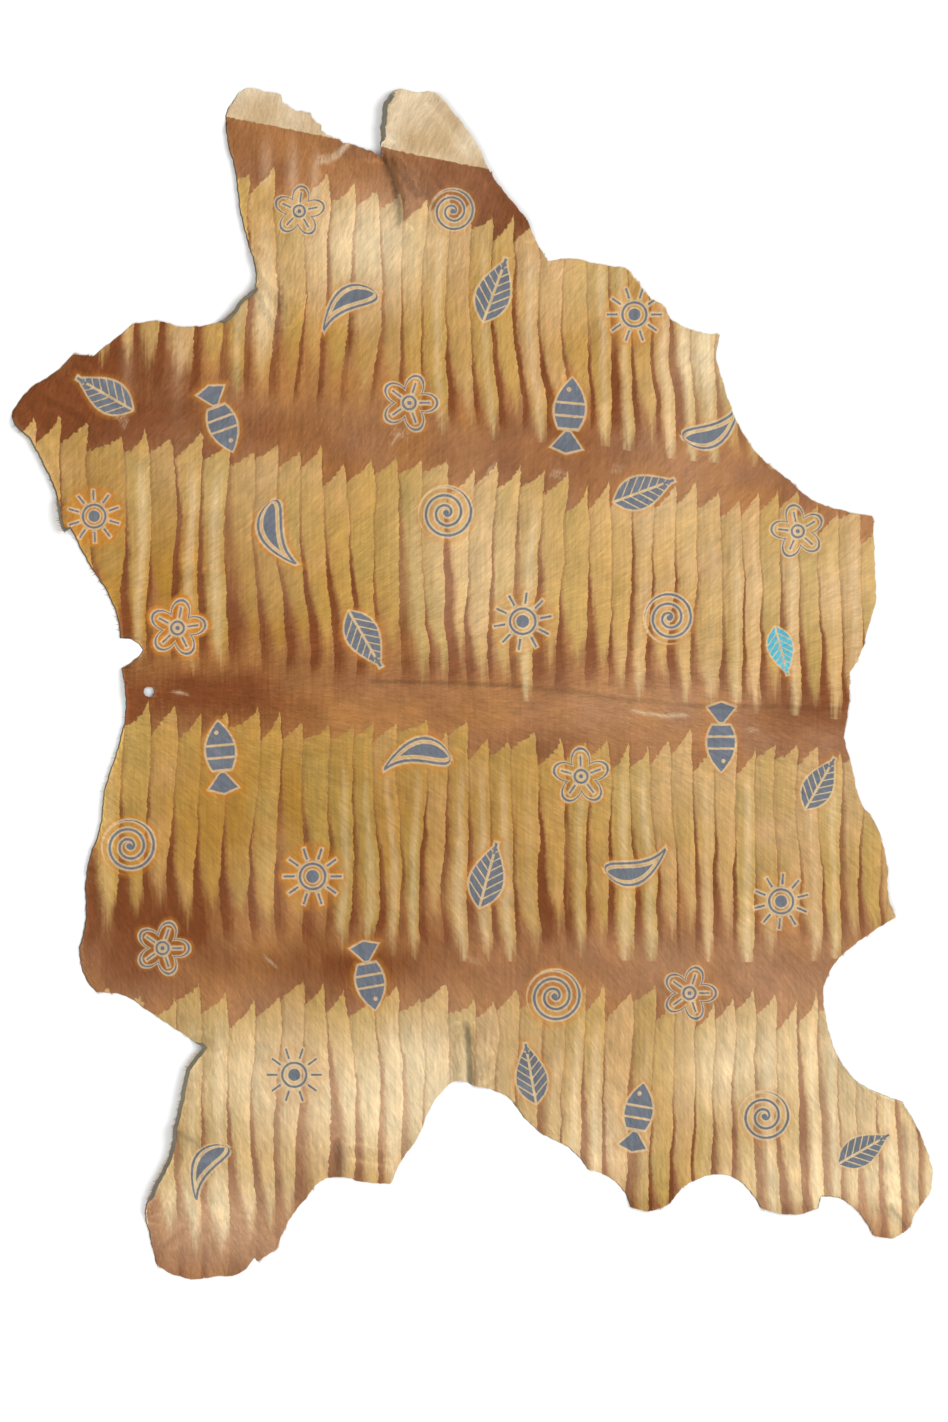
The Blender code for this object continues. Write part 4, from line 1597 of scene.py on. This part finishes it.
    def bake_map(self, corners: Array, flat: Array) -> Array:
        """Flat map of a strip: its plan, cut at half its height, with the halves side by side.

        Args:
            corners: Each hair's corners in plan, in metres.
            flat: Each hair's root in plan, in metres.

        Returns:
            One row of two for each corner, each from 0 to 1.
        """
        margin = 12.0 * MM
        low, high = flat.min(axis=0) - margin, flat.max(axis=0) + margin
        middle = 0.5 * (low[1] + high[1])
        upper = flat[:, 1] > middle
        wide, tall = high[0] - low[0], 0.5 * (high[1] - low[1]) + margin
        size = max(2.0 * wide, tall + margin)
        spots = corners - low
        spots[upper, :, 0] += wide
        spots[upper, :, 1] -= middle - low[1] - margin
        return spots.reshape(-1, 2) / size


@dataclass(frozen=True)
class Studio:
    """A plain pale floor, soft light from above, and a camera straight over the hide.

    Attributes:
        frame_middle: What the camera looks at, in metres.
        frame_height: How much of the floor the picture shows from top to bottom, in metres.
        lens: Focal length, in mm.
        sensor: Long side of the sensor, in mm.
        floor_size: Side of the floor, in metres.
        floor_drop: How far it lies under the hide, in metres.
        sky_strength: Strength of the even light from all round.
        lights: Each soft light's name, place and side in metres, and power in watts.
    """

    frame_middle: tuple[float, float] = (2.6 * MM, -33.1 * MM)
    frame_height: float = 1422 * 1.2 * MM
    lens: float = 100.0
    sensor: float = 36.0
    floor_size: float = 12.0
    floor_drop: float = 0.3 * MM
    sky_strength: float = 0.62
    lights: tuple[tuple, ...] = (("key_light", (2.9, 0.6, 4.2), 2.4, 142.0),
                                 ("fill_light", (-2.2, -2.8, 4.0), 4.0, 102.0))

    def camera(self) -> None:
        """Makes the camera: its distance is the frame's height times the lens over the sensor."""
        data = bpy.data.cameras.new("camera")
        data.lens = self.lens
        data.sensor_width = self.sensor
        camera = bpy.data.objects.new("camera", data)
        camera.location = (*self.frame_middle, self.frame_height * self.lens / self.sensor)
        bpy.context.scene.collection.objects.link(camera)
        bpy.context.scene.camera = camera

    def floor(self) -> None:
        """Lays the floor just under the hide."""
        half = self.floor_size / 2.0
        corners = np.array(((-half, -half), (half, -half), (half, half), (-half, half)))
        places = np.column_stack((corners, np.full(4, -self.floor_drop)))
        floor = new_piece("floor", places, np.array(((0, 1, 2), (0, 2, 3))))
        floor.data.materials.append(PaleFloor().material())

    def light(self, name: str, place: tuple[float, float, float], size: float, power: float) -> None:
        """Hangs a square soft light that faces the hide's middle.

        Args:
            name: The light's name.
            place: Where it hangs, in metres.
            size: Its side, in metres.
            power: Its power, in watts.
        """
        data = bpy.data.lights.new(name, "AREA")
        data.size = size
        data.energy = power
        light = bpy.data.objects.new(name, data)
        light.location = place
        light.rotation_euler = Vector(place).to_track_quat("Z", "Y").to_euler()
        bpy.context.scene.collection.objects.link(light)

    def build(self) -> None:
        """Sets up floor, lights, sky and camera."""
        self.camera()
        self.floor()
        for light in self.lights:
            self.light(*light)
        world = bpy.data.worlds.new("sky")
        world.use_nodes = True
        sky = world.node_tree.nodes["Background"]
        sky.inputs["Color"].default_value = (1.0, 1.0, 1.0, 1.0)
        sky.inputs["Strength"].default_value = self.sky_strength
        bpy.context.scene.world = world
        bpy.context.scene.view_settings.view_transform = "Standard"


@dataclass
class Hide:
    """The whole hide: the skin and its coat of hair.

    Attributes:
        flat_size: Width and length of the hide before it was laid, in metres; not used.
        flat_area: Its area, in square metres; not used.
    """

    flat_size: tuple[float, float] = (1.11, 1.43)
    flat_area: float = 1.02

    def build(self) -> None:
        """Builds the skin and the coat and ties them to the frame."""
        skin = Skin([FeatherPrint(motif).material() for motif in (None, *Motif)])
        sheet = skin.build(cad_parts[NODE])
        coat = HairCoat(skin).build()
        for piece in (sheet, *coat):
            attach(piece, BODY)
            log.info("%s: %d triangles", piece.name, len(piece.data.polygons))
        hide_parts(NODE)


def main() -> None:
    """Builds the hide and the studio."""
    logging.basicConfig(level=logging.INFO, format="%(message)s")
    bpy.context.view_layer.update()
    Hide().build()
    Studio().build()


if __name__ == "__main__":
    main()
